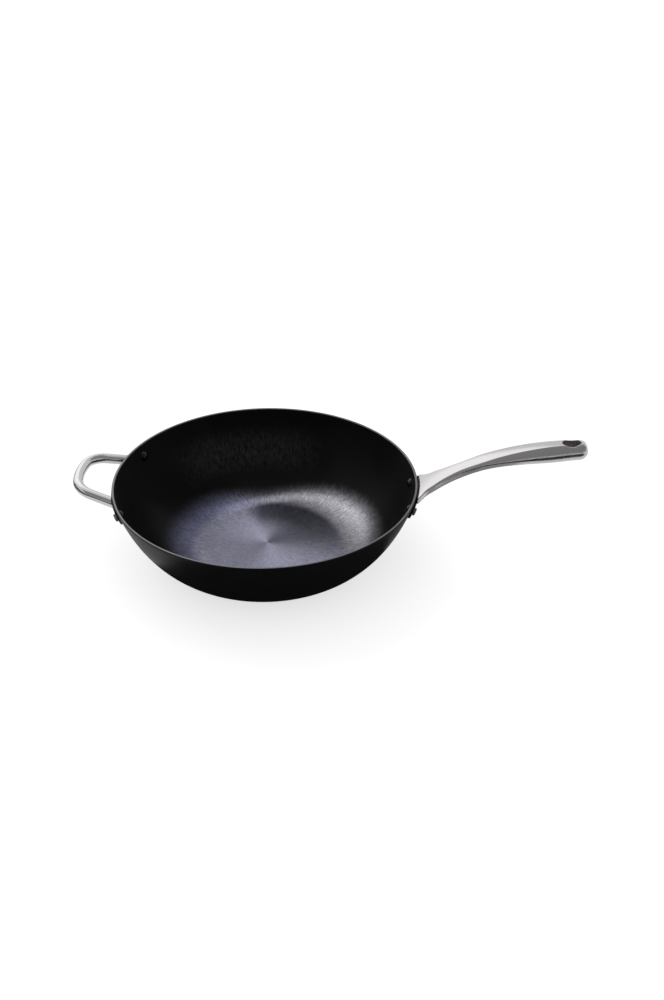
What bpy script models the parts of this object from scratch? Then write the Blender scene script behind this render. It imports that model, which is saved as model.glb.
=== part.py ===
"""Cast iron wok, 322 mm across the rim, with a stainless long handle and a helper loop.

The origin is the middle of the flat base's underside. +Z is up and +X runs along the long handle.
All sizes are in metres.
"""

import math
from collections import namedtuple

import bmesh
import bpy
from mathutils import Matrix, Vector

COLLECTION_NAME = "cast_iron_wok"

# Clearances
SEAT_GAP = 0.0003
HOLE_CLEARANCE = 0.0004

# How far the cutting shapes run past what they cut
THROUGH_REACH = 0.030
CUT_MARGIN = 0.010
SMALL_MARGIN = 0.002
SKIN_MARGIN = 0.00005
SLOPE_STEP = 0.0005

# Points nearer than this are one point after a Boolean
WELD_DISTANCE = 0.000002

# Bowl casting
RIM_RADIUS = 0.1609
BOWL_HEIGHT = 0.0830
BASE_RADIUS = 0.0965
FLOOR_RADIUS = 0.080
WALL = 0.0025
BASE_THICKNESS = 0.0034
RIM_LEAN = math.radians(16.8)
OUTER_WALL_PULL = 0.0740
INNER_WALL_PULL = 0.0735
OUTER_HEEL_PULL = 0.004
INNER_HEEL_PULL = 0.020
LIP_OUTER_ROUND = 0.0010
LIP_INNER_ROUND = 0.0005

# Dome-headed screws and hex nuts that hold both brackets
SHANK_DIAMETER = 0.0050
SCREW_HEAD_DIAMETER = 0.0105
SCREW_HEAD_HEIGHT = 0.0028
NUT_ACROSS_FLATS = 0.0080
NUT_HEIGHT = 0.0024
NUT_CHAMFER = 0.0005
SHANK_PAST_NUT = 0.0003
SPOT_FACE_DIAMETER = 0.0110
SPOT_FACE_DEPTH = 0.0002
SCREW_DEPTH_BELOW_RIM = 0.0133

# Long handle bracket
LONG_SCREW_ANGLE = math.radians(9.6)
BRACKET_PLATE = 0.0024
BRACKET_TOP = 0.0050
BRACKET_HEIGHT = 0.0160
BRACKET_END_MARGIN = 0.0090
PAD_PROUD = 0.0016
PAD_TOP = 0.0
PAD_HEIGHT = 0.0120
PAD_WIDTH = 0.0430
PAD_CORNER = 0.0085

# Countersunk screws from the bracket into the long handle's root
ROOT_SCREW_SPACING = 0.0160
ROOT_SCREW_DEPTH_BELOW_RIM = 0.0042
ROOT_SCREW_SHANK = 0.0032
ROOT_SCREW_HEAD = 0.0058
ROOT_SCREW_HEAD_HEIGHT = 0.0014
ROOT_SCREW_LENGTH = 0.0068
ROOT_SCREW_SINK = 0.0009
ROOT_SCREW_END_GAP = 0.0006

# Long handle: its top line is one curve, from the root to the tip
HANDLE_REACH = 0.1699
TOP_LINE_START = 0.0011
TOP_LINE_START_RISE = 0.0003
TOP_LINE_START_SLOPE = math.radians(37.2)
TOP_LINE_START_PULL = 0.073
TOP_LINE_END_RISE = 0.0600
TOP_LINE_END_SLOPE = 0.0
TOP_LINE_END_PULL = 0.0447
TOP_CROWN = 0.0007
FACET_SLOPE = math.radians(42)
TIP_ROUND = 0.0085
TIP_SHRINK = 0.8
TIP_STEPS = 6
ROOT_OVERRUN = 0.012

# Cross-sections of the long handle, from root to tip. Each value below is read down its column:
# the place as a share of the handle's reach, the half width of the top band, the run of the
# sloping facet beside it, the radius of the side, the upright part of the side, the radius of the
# lower edge, and how far the underside bellies down in the middle.
Section = namedtuple("Section", "place band facet side upright edge belly")
SECTION_PLACES = (
    -0.059, 0.012, 0.047, 0.097, 0.164, 0.258,
    0.375, 0.492, 0.609, 0.785, 0.960, 1.007,
)
BAND_HALF_WIDTHS = (
    0.0300, 0.0222, 0.0163, 0.0134, 0.0102, 0.0080,
    0.0087, 0.0080, 0.0074, 0.0062, 0.0056, 0.0055,
)
FACET_RUNS = (
    0.0008, 0.0008, 0.0009, 0.0010, 0.0012, 0.0016,
    0.0018, 0.0034, 0.0038, 0.0037, 0.0027, 0.0025,
)
SIDE_RADII = (
    0.0018, 0.0018, 0.0022, 0.0025, 0.0027, 0.0028,
    0.0029, 0.0044, 0.0080, 0.0122, 0.0116, 0.0113,
)
SIDE_UPRIGHTS = (
    0.0028, 0.0028, 0.0028, 0.0030, 0.0031, 0.0031,
    0.0026, 0.0012, 0.0006, 0.0, 0.0, 0.0,
)
LOWER_EDGE_RADII = (
    0.0020, 0.0020, 0.0025, 0.0028, 0.0030, 0.0030,
    0.0030, 0.0030, 0.0030, 0.0030, 0.0040, 0.0042,
)
BELLY_DEPTHS = (
    0.0055, 0.0055, 0.0065, 0.0040, 0.0015, 0.0006,
    0.0004, 0.0004, 0.0004, 0.0004, 0.0004, 0.0004,
)
STATION_STEP = 0.0062

# Hanging hole in the long handle
HOLE_TO_TIP = 0.0165
HOLE_LENGTH = 0.0190
HOLE_WIDTH = 0.0136
HOLE_LIP = 0.0009
HOLE_STEPS = 32
HOLE_OUT = HANDLE_REACH - HOLE_TO_TIP

# Helper handle: a loop of round bar in one tilted plane
BAR_DIAMETER = 0.0110
LEG_OVERRUN = 0.0120
LEG_HALF_SPREAD = 0.0447
SHOULDER_HALF_WIDTH = 0.0333
SHOULDER_REACH = 0.0317
SHOULDER_ROUND = 0.0245
FAR_BAR_BOW = math.radians(12)
LOOP_LIFT = math.radians(11.6)
LEG_DEPTH_BELOW_RIM = 0.0070
LEG_RIM_CLEARANCE = 0.0010
SPIGOT_DIAMETER = 0.0050
SPIGOT_DROP = 0.0022

# Edge of both brackets
CAST_EDGE = 0.0004
END_RELIEF = 0.0006

# Helper bracket
HELPER_SCREW_ANGLE = math.radians(22.8)
STRAP_PLATE = 0.0020
STRAP_TOP = 0.0055
STRAP_HEIGHT = 0.0155
STRAP_END_MARGIN = 0.0085

# Smoothness of the round shapes
BOWL_STEPS = 92
RING_STEPS = 116
ROUND_STEPS = 24
WALL_POINTS = 11


def bezier(start, start_handle, end_handle, end, t):
    """A point of a cubic curve, each corner being a pair of numbers."""
    weights = ((1 - t) ** 3, 3 * t * (1 - t) ** 2, 3 * t * t * (1 - t), t**3)
    corners = (start, start_handle, end_handle, end)
    return tuple(sum(w * c[axis] for w, c in zip(weights, corners)) for axis in (0, 1))


def wall_curve(top_radius, wall_pull, foot_radius, foot_pull, foot_height, t):
    """One side of the bowl's wall, from the rim (t = 0) to the flat (t = 1), as (radius, height)."""
    lean_x = wall_pull * math.sin(RIM_LEAN)
    lean_z = wall_pull * math.cos(RIM_LEAN)
    return bezier(
        (top_radius, BOWL_HEIGHT),
        (top_radius - lean_x, BOWL_HEIGHT - lean_z),
        (foot_radius + foot_pull, foot_height),
        (foot_radius, foot_height),
        t,
    )


def outer_wall(t):
    return wall_curve(RIM_RADIUS, OUTER_WALL_PULL, BASE_RADIUS, OUTER_HEEL_PULL, 0.0, t)


def inner_wall(t):
    top_radius = RIM_RADIUS - WALL / math.cos(RIM_LEAN)
    return wall_curve(
        top_radius, INNER_WALL_PULL, FLOOR_RADIUS, INNER_HEEL_PULL, BASE_THICKNESS, t
    )


def curve_at_depth(curve, depth):
    """Where a wall curve lies this far below the rim, by halving."""
    low, high = 0.0, 1.0
    for _ in range(40):
        middle = (low + high) / 2
        if BOWL_HEIGHT - curve(middle)[1] < depth:
            low = middle
        else:
            high = middle
    return low


def outer_radius(depth):
    """Outer radius of the bowl this far below the rim. Above the rim the wall's lean goes on."""
    if depth <= 0:
        return RIM_RADIUS - depth * math.tan(RIM_LEAN)
    return outer_wall(curve_at_depth(outer_wall, depth))[0]


def wall_lean(depth):
    """The wall's angle from upright this far below the rim."""
    rise = outer_radius(depth - SLOPE_STEP) - outer_radius(depth + SLOPE_STEP)
    return math.atan(rise / (2 * SLOPE_STEP))


def height_below_rim(depth):
    return BOWL_HEIGHT - depth


# Scene and mesh tools


def clear_scene():
    for obj in list(bpy.data.objects):
        bpy.data.objects.remove(obj, do_unlink=True)


def new_collection(name):
    collection = bpy.data.collections.new(name)
    bpy.context.scene.collection.children.link(collection)
    return collection


def new_material(name, colour, metallic, roughness):
    material = bpy.data.materials.new(name)
    material.use_nodes = True
    shader = material.node_tree.nodes["Principled BSDF"]
    shader.inputs["Base Color"].default_value = (*colour, 1.0)
    shader.inputs["Metallic"].default_value = metallic
    shader.inputs["Roughness"].default_value = roughness
    material.diffuse_color = (*colour, 1.0)
    return material


def mesh_object(name, build, collection, material=None):
    """A new object whose mesh is filled by build, a function of one bmesh."""
    shape = bmesh.new()
    build(shape)
    mesh = bpy.data.meshes.new(name)
    shape.to_mesh(mesh)
    shape.free()
    obj = bpy.data.objects.new(name, mesh)
    collection.objects.link(obj)
    if material:
        mesh.materials.append(material)
    return obj


def shade(obj, sharp_angle=math.radians(30)):
    obj.data.shade_smooth()
    obj.data.set_sharp_from_angle(angle=sharp_angle)


def make_cutter(obj):
    obj.hide_render = True
    obj.display_type = "WIRE"
    return obj


def turned(name, profile, steps, collection, material=None):
    """A solid turned about its own Z axis. The profile of (radius, height) runs down its outer side."""

    def build(shape):
        points = [shape.verts.new((radius, 0, height)) for radius, height in profile]
        for first, second in zip(points, points[1:]):
            shape.edges.new((first, second))

    obj = mesh_object(name, build, collection, material)
    screw = obj.modifiers.new("Turn", "SCREW")
    screw.steps = steps
    screw.render_steps = steps
    screw.use_merge_vertices = True
    screw.merge_threshold = 0.00001
    screw.use_smooth_shade = True
    return obj


def extruded(name, outline, depth, collection):
    """A prism: the closed outline of (x, y) pairs, made solid from z = 0 to z = depth."""

    def build(shape):
        bottom = [shape.verts.new((x, y, 0)) for x, y in outline]
        face = shape.faces.new(bottom)
        grown = bmesh.ops.extrude_face_region(shape, geom=[face])
        moved = [item for item in grown["geom"] if isinstance(item, bmesh.types.BMVert)]
        bmesh.ops.translate(shape, verts=moved, vec=(0, 0, depth))
        bmesh.ops.recalc_face_normals(shape, faces=shape.faces)

    return mesh_object(name, build, collection)


def lofted(name, rings, collection, material=None):
    """A closed skin over rings that have equal counts of points, with flat ends."""

    def build(shape):
        rows = [[shape.verts.new(point) for point in ring] for ring in rings]
        count = len(rows[0])
        for row, next_row in zip(rows, rows[1:]):
            for i in range(count):
                j = (i + 1) % count
                shape.faces.new((row[i], row[j], next_row[j], next_row[i]))
        shape.faces.new(rows[0])
        shape.faces.new(rows[-1])
        bmesh.ops.recalc_face_normals(shape, faces=shape.faces)

    return mesh_object(name, build, collection, material)


def boolean(obj, other, operation):
    modifier = obj.modifiers.new(operation.title(), "BOOLEAN")
    modifier.operation = operation
    modifier.solver = "EXACT"
    modifier.object = other
    weld = obj.modifiers.new("Weld", "WELD")
    weld.merge_threshold = WELD_DISTANCE


def cut(obj, cutter):
    boolean(obj, make_cutter(cutter), "DIFFERENCE")


def keep_inside(obj, limit):
    boolean(obj, make_cutter(limit), "INTERSECT")


def join(obj, other):
    boolean(obj, make_cutter(other), "UNION")


def arc(centre, radius, start, end, count):
    """Points along an arc, both ends included."""
    for i in range(count + 1):
        angle = start + (end - start) * i / count
        yield centre[0] + radius * math.cos(angle), centre[1] + radius * math.sin(angle)


# Places shared by the pieces that bolt together


def screw_frame(angle, depth=SCREW_DEPTH_BELOW_RIM):
    """The matrix whose origin is on the bowl's outer wall and whose Z points straight out of it."""
    lean = wall_lean(depth)
    outward = Vector((math.cos(lean), 0, -math.sin(lean)))
    across = Vector((0, 1, 0))
    up = outward.cross(across)
    place = Matrix((-up, across, outward)).transposed().to_4x4()
    place.translation = (outer_radius(depth), 0, height_below_rim(depth))
    return Matrix.Rotation(angle, 4, "Z") @ place


LONG_SCREWS = {"front": -LONG_SCREW_ANGLE, "back": LONG_SCREW_ANGLE}
HELPER_SCREWS = {
    "front": math.pi + HELPER_SCREW_ANGLE,
    "back": math.pi - HELPER_SCREW_ANGLE,
}
ROOT_SCREWS = {"front": -ROOT_SCREW_SPACING / 2, "back": ROOT_SCREW_SPACING / 2}
LEG_SIDES = {"front": -1, "back": 1}
PAD_RADIUS = RIM_RADIUS + PAD_PROUD


def through_hole(name, frame, diameter, cutters):
    """A cylinder along a screw's axis, long enough to pass through the wall and its bracket."""
    radius = diameter / 2
    top, bottom = THROUGH_REACH, -THROUGH_REACH
    profile = ((0, top), (radius, top), (radius, bottom), (0, bottom))
    hole = turned(name, profile, ROUND_STEPS, cutters)
    hole.matrix_world = frame
    return hole


# Bowl


def bowl_profile():
    """Floor, inner wall, lip, outer wall and base, from axis to axis."""
    yield 0.0, BASE_THICKNESS
    inner_start = curve_at_depth(inner_wall, LIP_INNER_ROUND)
    for i in range(WALL_POINTS + 1):
        yield inner_wall(1 + (inner_start - 1) * i / WALL_POINTS)
    inner_top = inner_wall(0)[0]
    yield inner_top + 0.3 * LIP_INNER_ROUND, BOWL_HEIGHT - 0.3 * LIP_INNER_ROUND
    yield inner_top + LIP_INNER_ROUND, BOWL_HEIGHT
    yield RIM_RADIUS - LIP_OUTER_ROUND, BOWL_HEIGHT
    yield RIM_RADIUS - 0.3 * LIP_OUTER_ROUND, BOWL_HEIGHT - 0.3 * LIP_OUTER_ROUND
    outer_start = curve_at_depth(outer_wall, LIP_OUTER_ROUND)
    for i in range(WALL_POINTS + 1):
        yield outer_wall(outer_start + (1 - outer_start) * i / WALL_POINTS)
    yield 0.0, 0.0


def make_bowl(parts, cutters, material):
    bowl = turned("wok_body", list(bowl_profile()), BOWL_STEPS, parts, material)
    hole_diameter = SHANK_DIAMETER + 2 * HOLE_CLEARANCE
    for label, angle in LONG_SCREWS.items():
        hole = through_hole(f"bowl_long_hole_{label}", screw_frame(angle), hole_diameter, cutters)
        cut(bowl, hole)
    for label, angle in HELPER_SCREWS.items():
        hole = through_hole(f"bowl_helper_hole_{label}", screw_frame(angle), hole_diameter, cutters)
        cut(bowl, hole)
    shade(bowl)


# Screws and nuts


def dome_screw_profile(grip):
    """Dome head above the wall's inner face at z = 0, shank down through the grip."""
    head_radius = SCREW_HEAD_DIAMETER / 2
    shank_radius = SHANK_DIAMETER / 2
    dome_radius = (head_radius**2 + SCREW_HEAD_HEIGHT**2) / (2 * SCREW_HEAD_HEIGHT)
    dome_centre = SCREW_HEAD_HEIGHT - dome_radius
    edge = math.acos(head_radius / dome_radius)
    for radius, height in arc((0, dome_centre), dome_radius, math.pi / 2, edge, 7):
        yield max(radius, 0.0), height
    yield shank_radius, 0.0
    yield shank_radius, -grip
    yield 0.0, -grip


def make_screw(name, frame, plate, parts, material):
    """A dome-headed screw from inside the bowl through the wall, the plate and the nut."""
    inner_face = -WALL - SEAT_GAP
    seat = 2 * SEAT_GAP + plate - SPOT_FACE_DEPTH
    grip = seat + NUT_HEIGHT + SHANK_PAST_NUT - inner_face
    screw = turned(name, list(dome_screw_profile(grip)), ROUND_STEPS, parts, material)
    turn_over = Matrix.Rotation(math.pi, 4, "X")
    head_hollow = SCREW_HEAD_DIAMETER**2 / (8 * inner_wall(0)[0])
    place = Matrix.Translation((0, 0, inner_face - head_hollow))
    screw.matrix_world = frame @ place @ turn_over
    shade(screw)


def make_nut(name, frame, plate, parts, cutters, material):
    """A hex nut with chamfered corners, seated on the plate's spot face."""
    corner_radius = NUT_ACROSS_FLATS / 2 / math.cos(math.pi / 6)
    hexagon = [(corner_radius * math.cos(k * math.pi / 3), corner_radius * math.sin(k * math.pi / 3))
               for k in range(6)]
    nut = extruded(name, hexagon, NUT_HEIGHT, parts)
    nut.data.materials.append(material)
    flat_radius = NUT_ACROSS_FLATS / 2
    chamfer_slope = NUT_CHAMFER / (corner_radius - flat_radius)
    past_corner = corner_radius + SMALL_MARGIN
    limit_profile = (
        (0, NUT_HEIGHT),
        (flat_radius, NUT_HEIGHT),
        (past_corner, NUT_HEIGHT - chamfer_slope * (past_corner - flat_radius)),
        (past_corner, -SMALL_MARGIN),
        (0, -SMALL_MARGIN),
    )
    limit = turned(f"{name}_limit", limit_profile, ROUND_STEPS, cutters)
    bore = through_hole(f"{name}_bore", Matrix(), SHANK_DIAMETER + 2 * SEAT_GAP, cutters)
    seat = 2 * SEAT_GAP + plate - SPOT_FACE_DEPTH
    place = frame @ Matrix.Translation((0, 0, seat))
    for obj in (nut, limit, bore):
        obj.matrix_world = place
    keep_inside(nut, limit)
    cut(nut, bore)
    shade(nut)


# Brackets


def even_depths(top, bottom, count=6):
    return [top + (bottom - top) * i / count for i in range(count + 1)]


def ring_profile(depths, inner, outer):
    """A ring's closed section. Inner and outer give its two radii at any depth below the rim."""
    top, bottom = depths[0], depths[-1]
    for depth in reversed(depths):
        yield inner(depth), height_below_rim(depth)
    yield outer(top) - CAST_EDGE, height_below_rim(top)
    for depth in even_depths(top + CAST_EDGE, bottom - CAST_EDGE):
        yield outer(depth), height_below_rim(depth)
    yield outer(bottom) - CAST_EDGE, height_below_rim(bottom)
    yield inner(bottom), height_below_rim(bottom)


def plate_inner(depth):
    return outer_radius(depth) + SEAT_GAP / math.cos(wall_lean(depth))


def plate_outer(plate):
    def radius(depth):
        return outer_radius(depth) + (SEAT_GAP + plate) / math.cos(wall_lean(depth))

    return radius


def capsule(half_length, top, height):
    """Outline of a strap's round ends, as (depth below the rim, distance along Y).

    It is a little taller than the strap, so that only its ends cut.
    """
    radius = height / 2 + END_RELIEF
    middle = top + height / 2
    outline = list(arc((middle, half_length - radius), radius, 0, math.pi, 12))
    outline += list(arc((middle, radius - half_length), radius, math.pi, 2 * math.pi, 12))
    return outline


def rounded_box(half_width, top, height, corner):
    """Outline of the pad, as (depth below the rim, distance along Y), square at the rim."""
    bottom = top + height
    outline = [(top, half_width)]
    outline += list(arc((bottom - corner, half_width - corner), corner, math.pi / 2, 0, 5))
    outline += list(arc((bottom - corner, corner - half_width), corner, 0, -math.pi / 2, 5))
    outline.append((top, -half_width))
    return outline


def outline_prism(name, outline, toward, cutters):
    """An outline of (depth below the rim, Y), made solid along the direction toward."""
    start = BASE_RADIUS
    prism = extruded(name, outline, RIM_RADIUS + CUT_MARGIN - start, cutters)
    down = Vector((0, 0, -1))
    across = toward.cross(down)
    place = Matrix((down, across, toward)).transposed().to_4x4()
    place.translation = Vector((0, 0, BOWL_HEIGHT)) + toward * start
    prism.matrix_world = place
    return prism


def screw_seat(name, frame, plate, cutters):
    """A cylinder that mills a flat seat for the nut, square to the screw."""
    radius = SPOT_FACE_DIAMETER / 2
    floor = SEAT_GAP + plate - SPOT_FACE_DEPTH
    top = floor + CUT_MARGIN
    profile = ((0, top), (radius, top), (radius, floor), (0, floor))
    seat = turned(name, profile, ROUND_STEPS, cutters)
    seat.matrix_world = frame
    return seat


def drill_plate(obj, label, frame, plate, cutters):
    hole_diameter = SHANK_DIAMETER + 2 * HOLE_CLEARANCE
    cut(obj, screw_seat(f"{obj.name}_seat_{label}", frame, plate, cutters))
    cut(obj, through_hole(f"{obj.name}_hole_{label}", frame, hole_diameter, cutters))


def root_screw_frame(offset):
    """Z points into the long handle's root, from the head's flat in the back of the bracket."""
    head_flat = plate_inner(ROOT_SCREW_DEPTH_BELOW_RIM) + ROOT_SCREW_SINK
    place = Matrix((Vector((0, 0, -1)), Vector((0, 1, 0)), Vector((1, 0, 0)))).transposed().to_4x4()
    x = math.sqrt(head_flat**2 - offset**2)
    place.translation = (x, offset, height_below_rim(ROOT_SCREW_DEPTH_BELOW_RIM))
    return place


def countersunk_profile(growth, length, behind):
    """Countersunk screw along +Z, made larger all round by growth. It starts behind its head flat."""
    head = ROOT_SCREW_HEAD / 2 + growth
    shank = ROOT_SCREW_SHANK / 2 + growth
    return (
        (0, length),
        (shank, length),
        (shank, ROOT_SCREW_HEAD_HEIGHT),
        (head, 0.0),
        (head, -behind),
        (0, -behind),
    )


def make_root_screw(label, offset, parts, material):
    name = f"long_handle_root_screw_{label}"
    profile = countersunk_profile(0.0, ROOT_SCREW_LENGTH, 0.0)[:4] + ((0, 0.0),)
    screw = turned(name, profile, ROUND_STEPS, parts, material)
    screw.matrix_world = root_screw_frame(offset)
    shade(screw)


def root_screw_hole(name, offset, cutters):
    bottom = ROOT_SCREW_LENGTH + ROOT_SCREW_END_GAP
    profile = countersunk_profile(SEAT_GAP, bottom, CUT_MARGIN)
    hole = turned(name, profile, ROUND_STEPS, cutters)
    hole.matrix_world = root_screw_frame(offset)
    return hole


def make_long_bracket(parts, cutters, material):
    """A cast saddle: a thick pad for the handle's root between two thin lobes for the screws."""
    name = "long_handle_bracket"
    bottom = BRACKET_TOP + BRACKET_HEIGHT
    depths = even_depths(BRACKET_TOP, bottom)
    section = ring_profile(depths, plate_inner, plate_outer(BRACKET_PLATE))
    bracket = turned(name, list(section), RING_STEPS, parts, material)
    screw_reach = outer_radius(SCREW_DEPTH_BELOW_RIM) * math.sin(LONG_SCREW_ANGLE)
    lobes = capsule(screw_reach + BRACKET_END_MARGIN, BRACKET_TOP, BRACKET_HEIGHT)
    toward = Vector((1, 0, 0))
    keep_inside(bracket, outline_prism(f"{name}_outline", lobes, toward, cutters))

    def pad_back(depth):
        return plate_inner(depth) + SKIN_MARGIN

    def pad_face(depth):
        return PAD_RADIUS

    pad_section = ring_profile([PAD_TOP, (PAD_TOP + BRACKET_TOP) / 2, *depths], pad_back, pad_face)
    pad = turned(f"{name}_pad", list(pad_section), RING_STEPS, cutters)
    outline_top = PAD_TOP - SMALL_MARGIN
    outline_height = PAD_HEIGHT + SMALL_MARGIN
    pad_outline = rounded_box(PAD_WIDTH / 2, outline_top, outline_height, PAD_CORNER)
    keep_inside(pad, outline_prism(f"{name}_pad_outline", pad_outline, toward, cutters))
    join(bracket, pad)
    for label, angle in LONG_SCREWS.items():
        drill_plate(bracket, label, screw_frame(angle), BRACKET_PLATE, cutters)
    for label, offset in ROOT_SCREWS.items():
        cut(bracket, root_screw_hole(f"{name}_root_hole_{label}", offset, cutters))
    shade(bracket)


def make_helper_bracket(parts, cutters, material):
    """A plain strap that follows the wall, with the spigots' holes between its two screws."""
    name = "helper_bracket"
    bottom = STRAP_TOP + STRAP_HEIGHT
    section = ring_profile(even_depths(STRAP_TOP, bottom), plate_inner, plate_outer(STRAP_PLATE))
    bracket = turned(name, list(section), RING_STEPS, parts, material)
    screw_reach = outer_radius(SCREW_DEPTH_BELOW_RIM) * math.sin(HELPER_SCREW_ANGLE)
    strap = capsule(screw_reach + STRAP_END_MARGIN, STRAP_TOP, STRAP_HEIGHT)
    keep_inside(bracket, outline_prism(f"{name}_outline", strap, Vector((-1, 0, 0)), cutters))
    for label, angle in HELPER_SCREWS.items():
        drill_plate(bracket, label, screw_frame(angle), STRAP_PLATE, cutters)
    for label, side in LEG_SIDES.items():
        cut(bracket, spigot(f"{name}_spigot_hole_{label}", side, SEAT_GAP, SMALL_MARGIN, cutters))
    shade(bracket)


# Long handle


def top_line(out):
    """Height above the rim of the long handle's top band, this far beyond the rim."""
    start = (TOP_LINE_START, TOP_LINE_START_RISE)
    end = (HANDLE_REACH, TOP_LINE_END_RISE)
    start_handle = (
        start[0] + TOP_LINE_START_PULL * math.cos(TOP_LINE_START_SLOPE),
        start[1] + TOP_LINE_START_PULL * math.sin(TOP_LINE_START_SLOPE),
    )
    end_handle = (
        end[0] - TOP_LINE_END_PULL * math.cos(TOP_LINE_END_SLOPE),
        end[1] - TOP_LINE_END_PULL * math.sin(TOP_LINE_END_SLOPE),
    )
    if out <= start[0]:
        return start[1] + (out - start[0]) * math.tan(TOP_LINE_START_SLOPE)
    low, high = 0.0, 1.0
    for _ in range(40):
        middle = (low + high) / 2
        if bezier(start, start_handle, end_handle, end, middle)[0] < out:
            low = middle
        else:
            high = middle
    return bezier(start, start_handle, end_handle, end, low)[1]


def handle_sections():
    columns = (SECTION_PLACES, BAND_HALF_WIDTHS, FACET_RUNS, SIDE_RADII, SIDE_UPRIGHTS)
    return [Section(*row) for row in zip(*columns, LOWER_EDGE_RADII, BELLY_DEPTHS)]


def section_at(out):
    """The handle's section at any distance, smoothly between the listed ones."""
    rows = handle_sections()
    place = out / HANDLE_REACH
    k = 0
    while k < len(rows) - 2 and rows[k + 1].place < place:
        k += 1
    before, first, second, after = (rows[max(0, min(len(rows) - 1, i))] for i in (k - 1, k, k + 1, k + 2))
    span = second.place - first.place
    t = min(1.0, max(0.0, (place - first.place) / span))
    values = [place]
    for field in Section._fields[1:]:
        a, b = getattr(first, field), getattr(second, field)
        slope_a = slope_b = (b - a) / span
        if before is not first:
            slope_a = (b - getattr(before, field)) / (second.place - before.place)
        if after is not second:
            slope_b = (getattr(after, field) - a) / (after.place - first.place)
        h00 = 2 * t**3 - 3 * t**2 + 1
        h10 = t**3 - 2 * t**2 + t
        h01 = 3 * t**2 - 2 * t**3
        h11 = t**3 - t**2
        values.append(max(0.0, h00 * a + h10 * span * slope_a + h01 * b + h11 * span * slope_b))
    return Section(*values)


def half_section(section):
    """Right half of a cross-section as (across, up from the top band's edge), top to bottom."""
    normal = math.pi / 2 - FACET_SLOPE
    facet_drop = section.facet * math.tan(FACET_SLOPE)
    for i in range(4):
        share = i / 4
        yield section.band * share, TOP_CROWN * (1 - share**2)
    yield section.band, 0.0
    centre = (
        section.band + section.facet - section.side * math.cos(normal),
        -facet_drop - section.side * math.sin(normal),
    )
    yield from arc(centre, section.side, normal, 0.0, 5)
    across = centre[0] + section.side
    down = centre[1] - section.upright
    yield from arc((across - section.edge, down), section.edge, -0.05, -math.pi / 2, 4)
    flat_half = across - section.edge
    for share in (0.66, 0.33, 0.0):
        yield flat_half * share, down - section.edge - section.belly * (1 - share**2)


def handle_ring(out, shrink=0.0):
    """The cross-section in the upright plane this far beyond the rim, drawn in by shrink."""
    top = top_line(out)
    half = list(half_section(section_at(out)))
    middle = half[-1][1] / 2
    widest = max(across for across, _ in half)
    squeeze = max(0.02, 1 - shrink / widest)
    depth_squeeze = max(0.02, 1 - shrink / abs(middle))
    points = [(across * squeeze, middle + (up - middle) * depth_squeeze) for across, up in half]
    mirrored = [(-across, up) for across, up in points[-2:0:-1]]
    x = RIM_RADIUS + out
    z = height_below_rim(-top)
    return [(x, across, z + up) for across, up in points + mirrored]


def handle_rings():
    straight_end = HANDLE_REACH - TIP_ROUND
    count = round((straight_end + ROOT_OVERRUN) / STATION_STEP)
    for i in range(count + 1):
        yield handle_ring(-ROOT_OVERRUN + (straight_end + ROOT_OVERRUN) * i / count)
    for i in range(1, TIP_STEPS + 1):
        angle = math.pi / 2 * i / TIP_STEPS
        out = straight_end + TIP_ROUND * math.sin(angle)
        yield handle_ring(out, TIP_SHRINK * TIP_ROUND * (1 - math.cos(angle)))


def surface_height(out, across):
    """Height above the rim of the handle's upper surface at a point near its middle."""
    section = section_at(out)
    beyond = abs(across) - section.band
    if beyond <= 0:
        return top_line(out) + TOP_CROWN * (1 - (across / section.band) ** 2)
    return top_line(out) - beyond * math.tan(FACET_SLOPE)


def hole_ring(growth, height):
    """An oval round the hanging hole. Height is a function of (distance beyond the rim, across)."""
    ring = []
    for i in range(HOLE_STEPS):
        angle = 2 * math.pi * i / HOLE_STEPS
        out = HOLE_OUT + (HOLE_LENGTH / 2 + growth) * math.cos(angle)
        across = (HOLE_WIDTH / 2 + growth) * math.sin(angle)
        ring.append((RIM_RADIUS + out, across, height_below_rim(-height(out, across))))
    return ring


def hanging_hole(cutters):
    """The oval hole with a softened lip that follows the crowned top."""

    def far_below(out, across):
        return top_line(HOLE_OUT) - THROUGH_REACH

    def under_lip(out, across):
        return surface_height(out, across) - HOLE_LIP

    def lip_waist(out, across):
        return surface_height(out, across) - 0.3 * HOLE_LIP

    def lip_edge(out, across):
        return surface_height(out, across) + SKIN_MARGIN

    def far_above(out, across):
        return top_line(HOLE_OUT) + CUT_MARGIN

    rings = (
        hole_ring(0.0, far_below),
        hole_ring(0.0, under_lip),
        hole_ring(0.3 * HOLE_LIP, lip_waist),
        hole_ring(HOLE_LIP, lip_edge),
        hole_ring(HOLE_LIP + SLOPE_STEP, far_above),
    )
    return lofted("long_handle_hanging_hole", rings, cutters)


def make_long_handle(parts, cutters, material):
    handle = lofted("long_handle", list(handle_rings()), parts, material)
    saddle_radius = PAD_RADIUS + SEAT_GAP
    top = BOWL_HEIGHT + TOP_LINE_END_RISE
    saddle_profile = ((0, top), (saddle_radius, top), (saddle_radius, 0), (0, 0))
    cut(handle, turned("long_handle_saddle", saddle_profile, RING_STEPS, cutters))
    cut(handle, hanging_hole(cutters))
    for label, offset in ROOT_SCREWS.items():
        cut(handle, root_screw_hole(f"long_handle_root_hole_{label}", offset, cutters))
    shade(handle)


# Helper handle


def loop_plane_point(reach, across):
    """A point of the loop's tilted plane, reach being the distance from the bowl's axis."""
    rise = (reach - RIM_RADIUS) * math.tan(LOOP_LIFT)
    return Vector((-reach, across, height_below_rim(LEG_DEPTH_BELOW_RIM) + rise))


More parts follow.
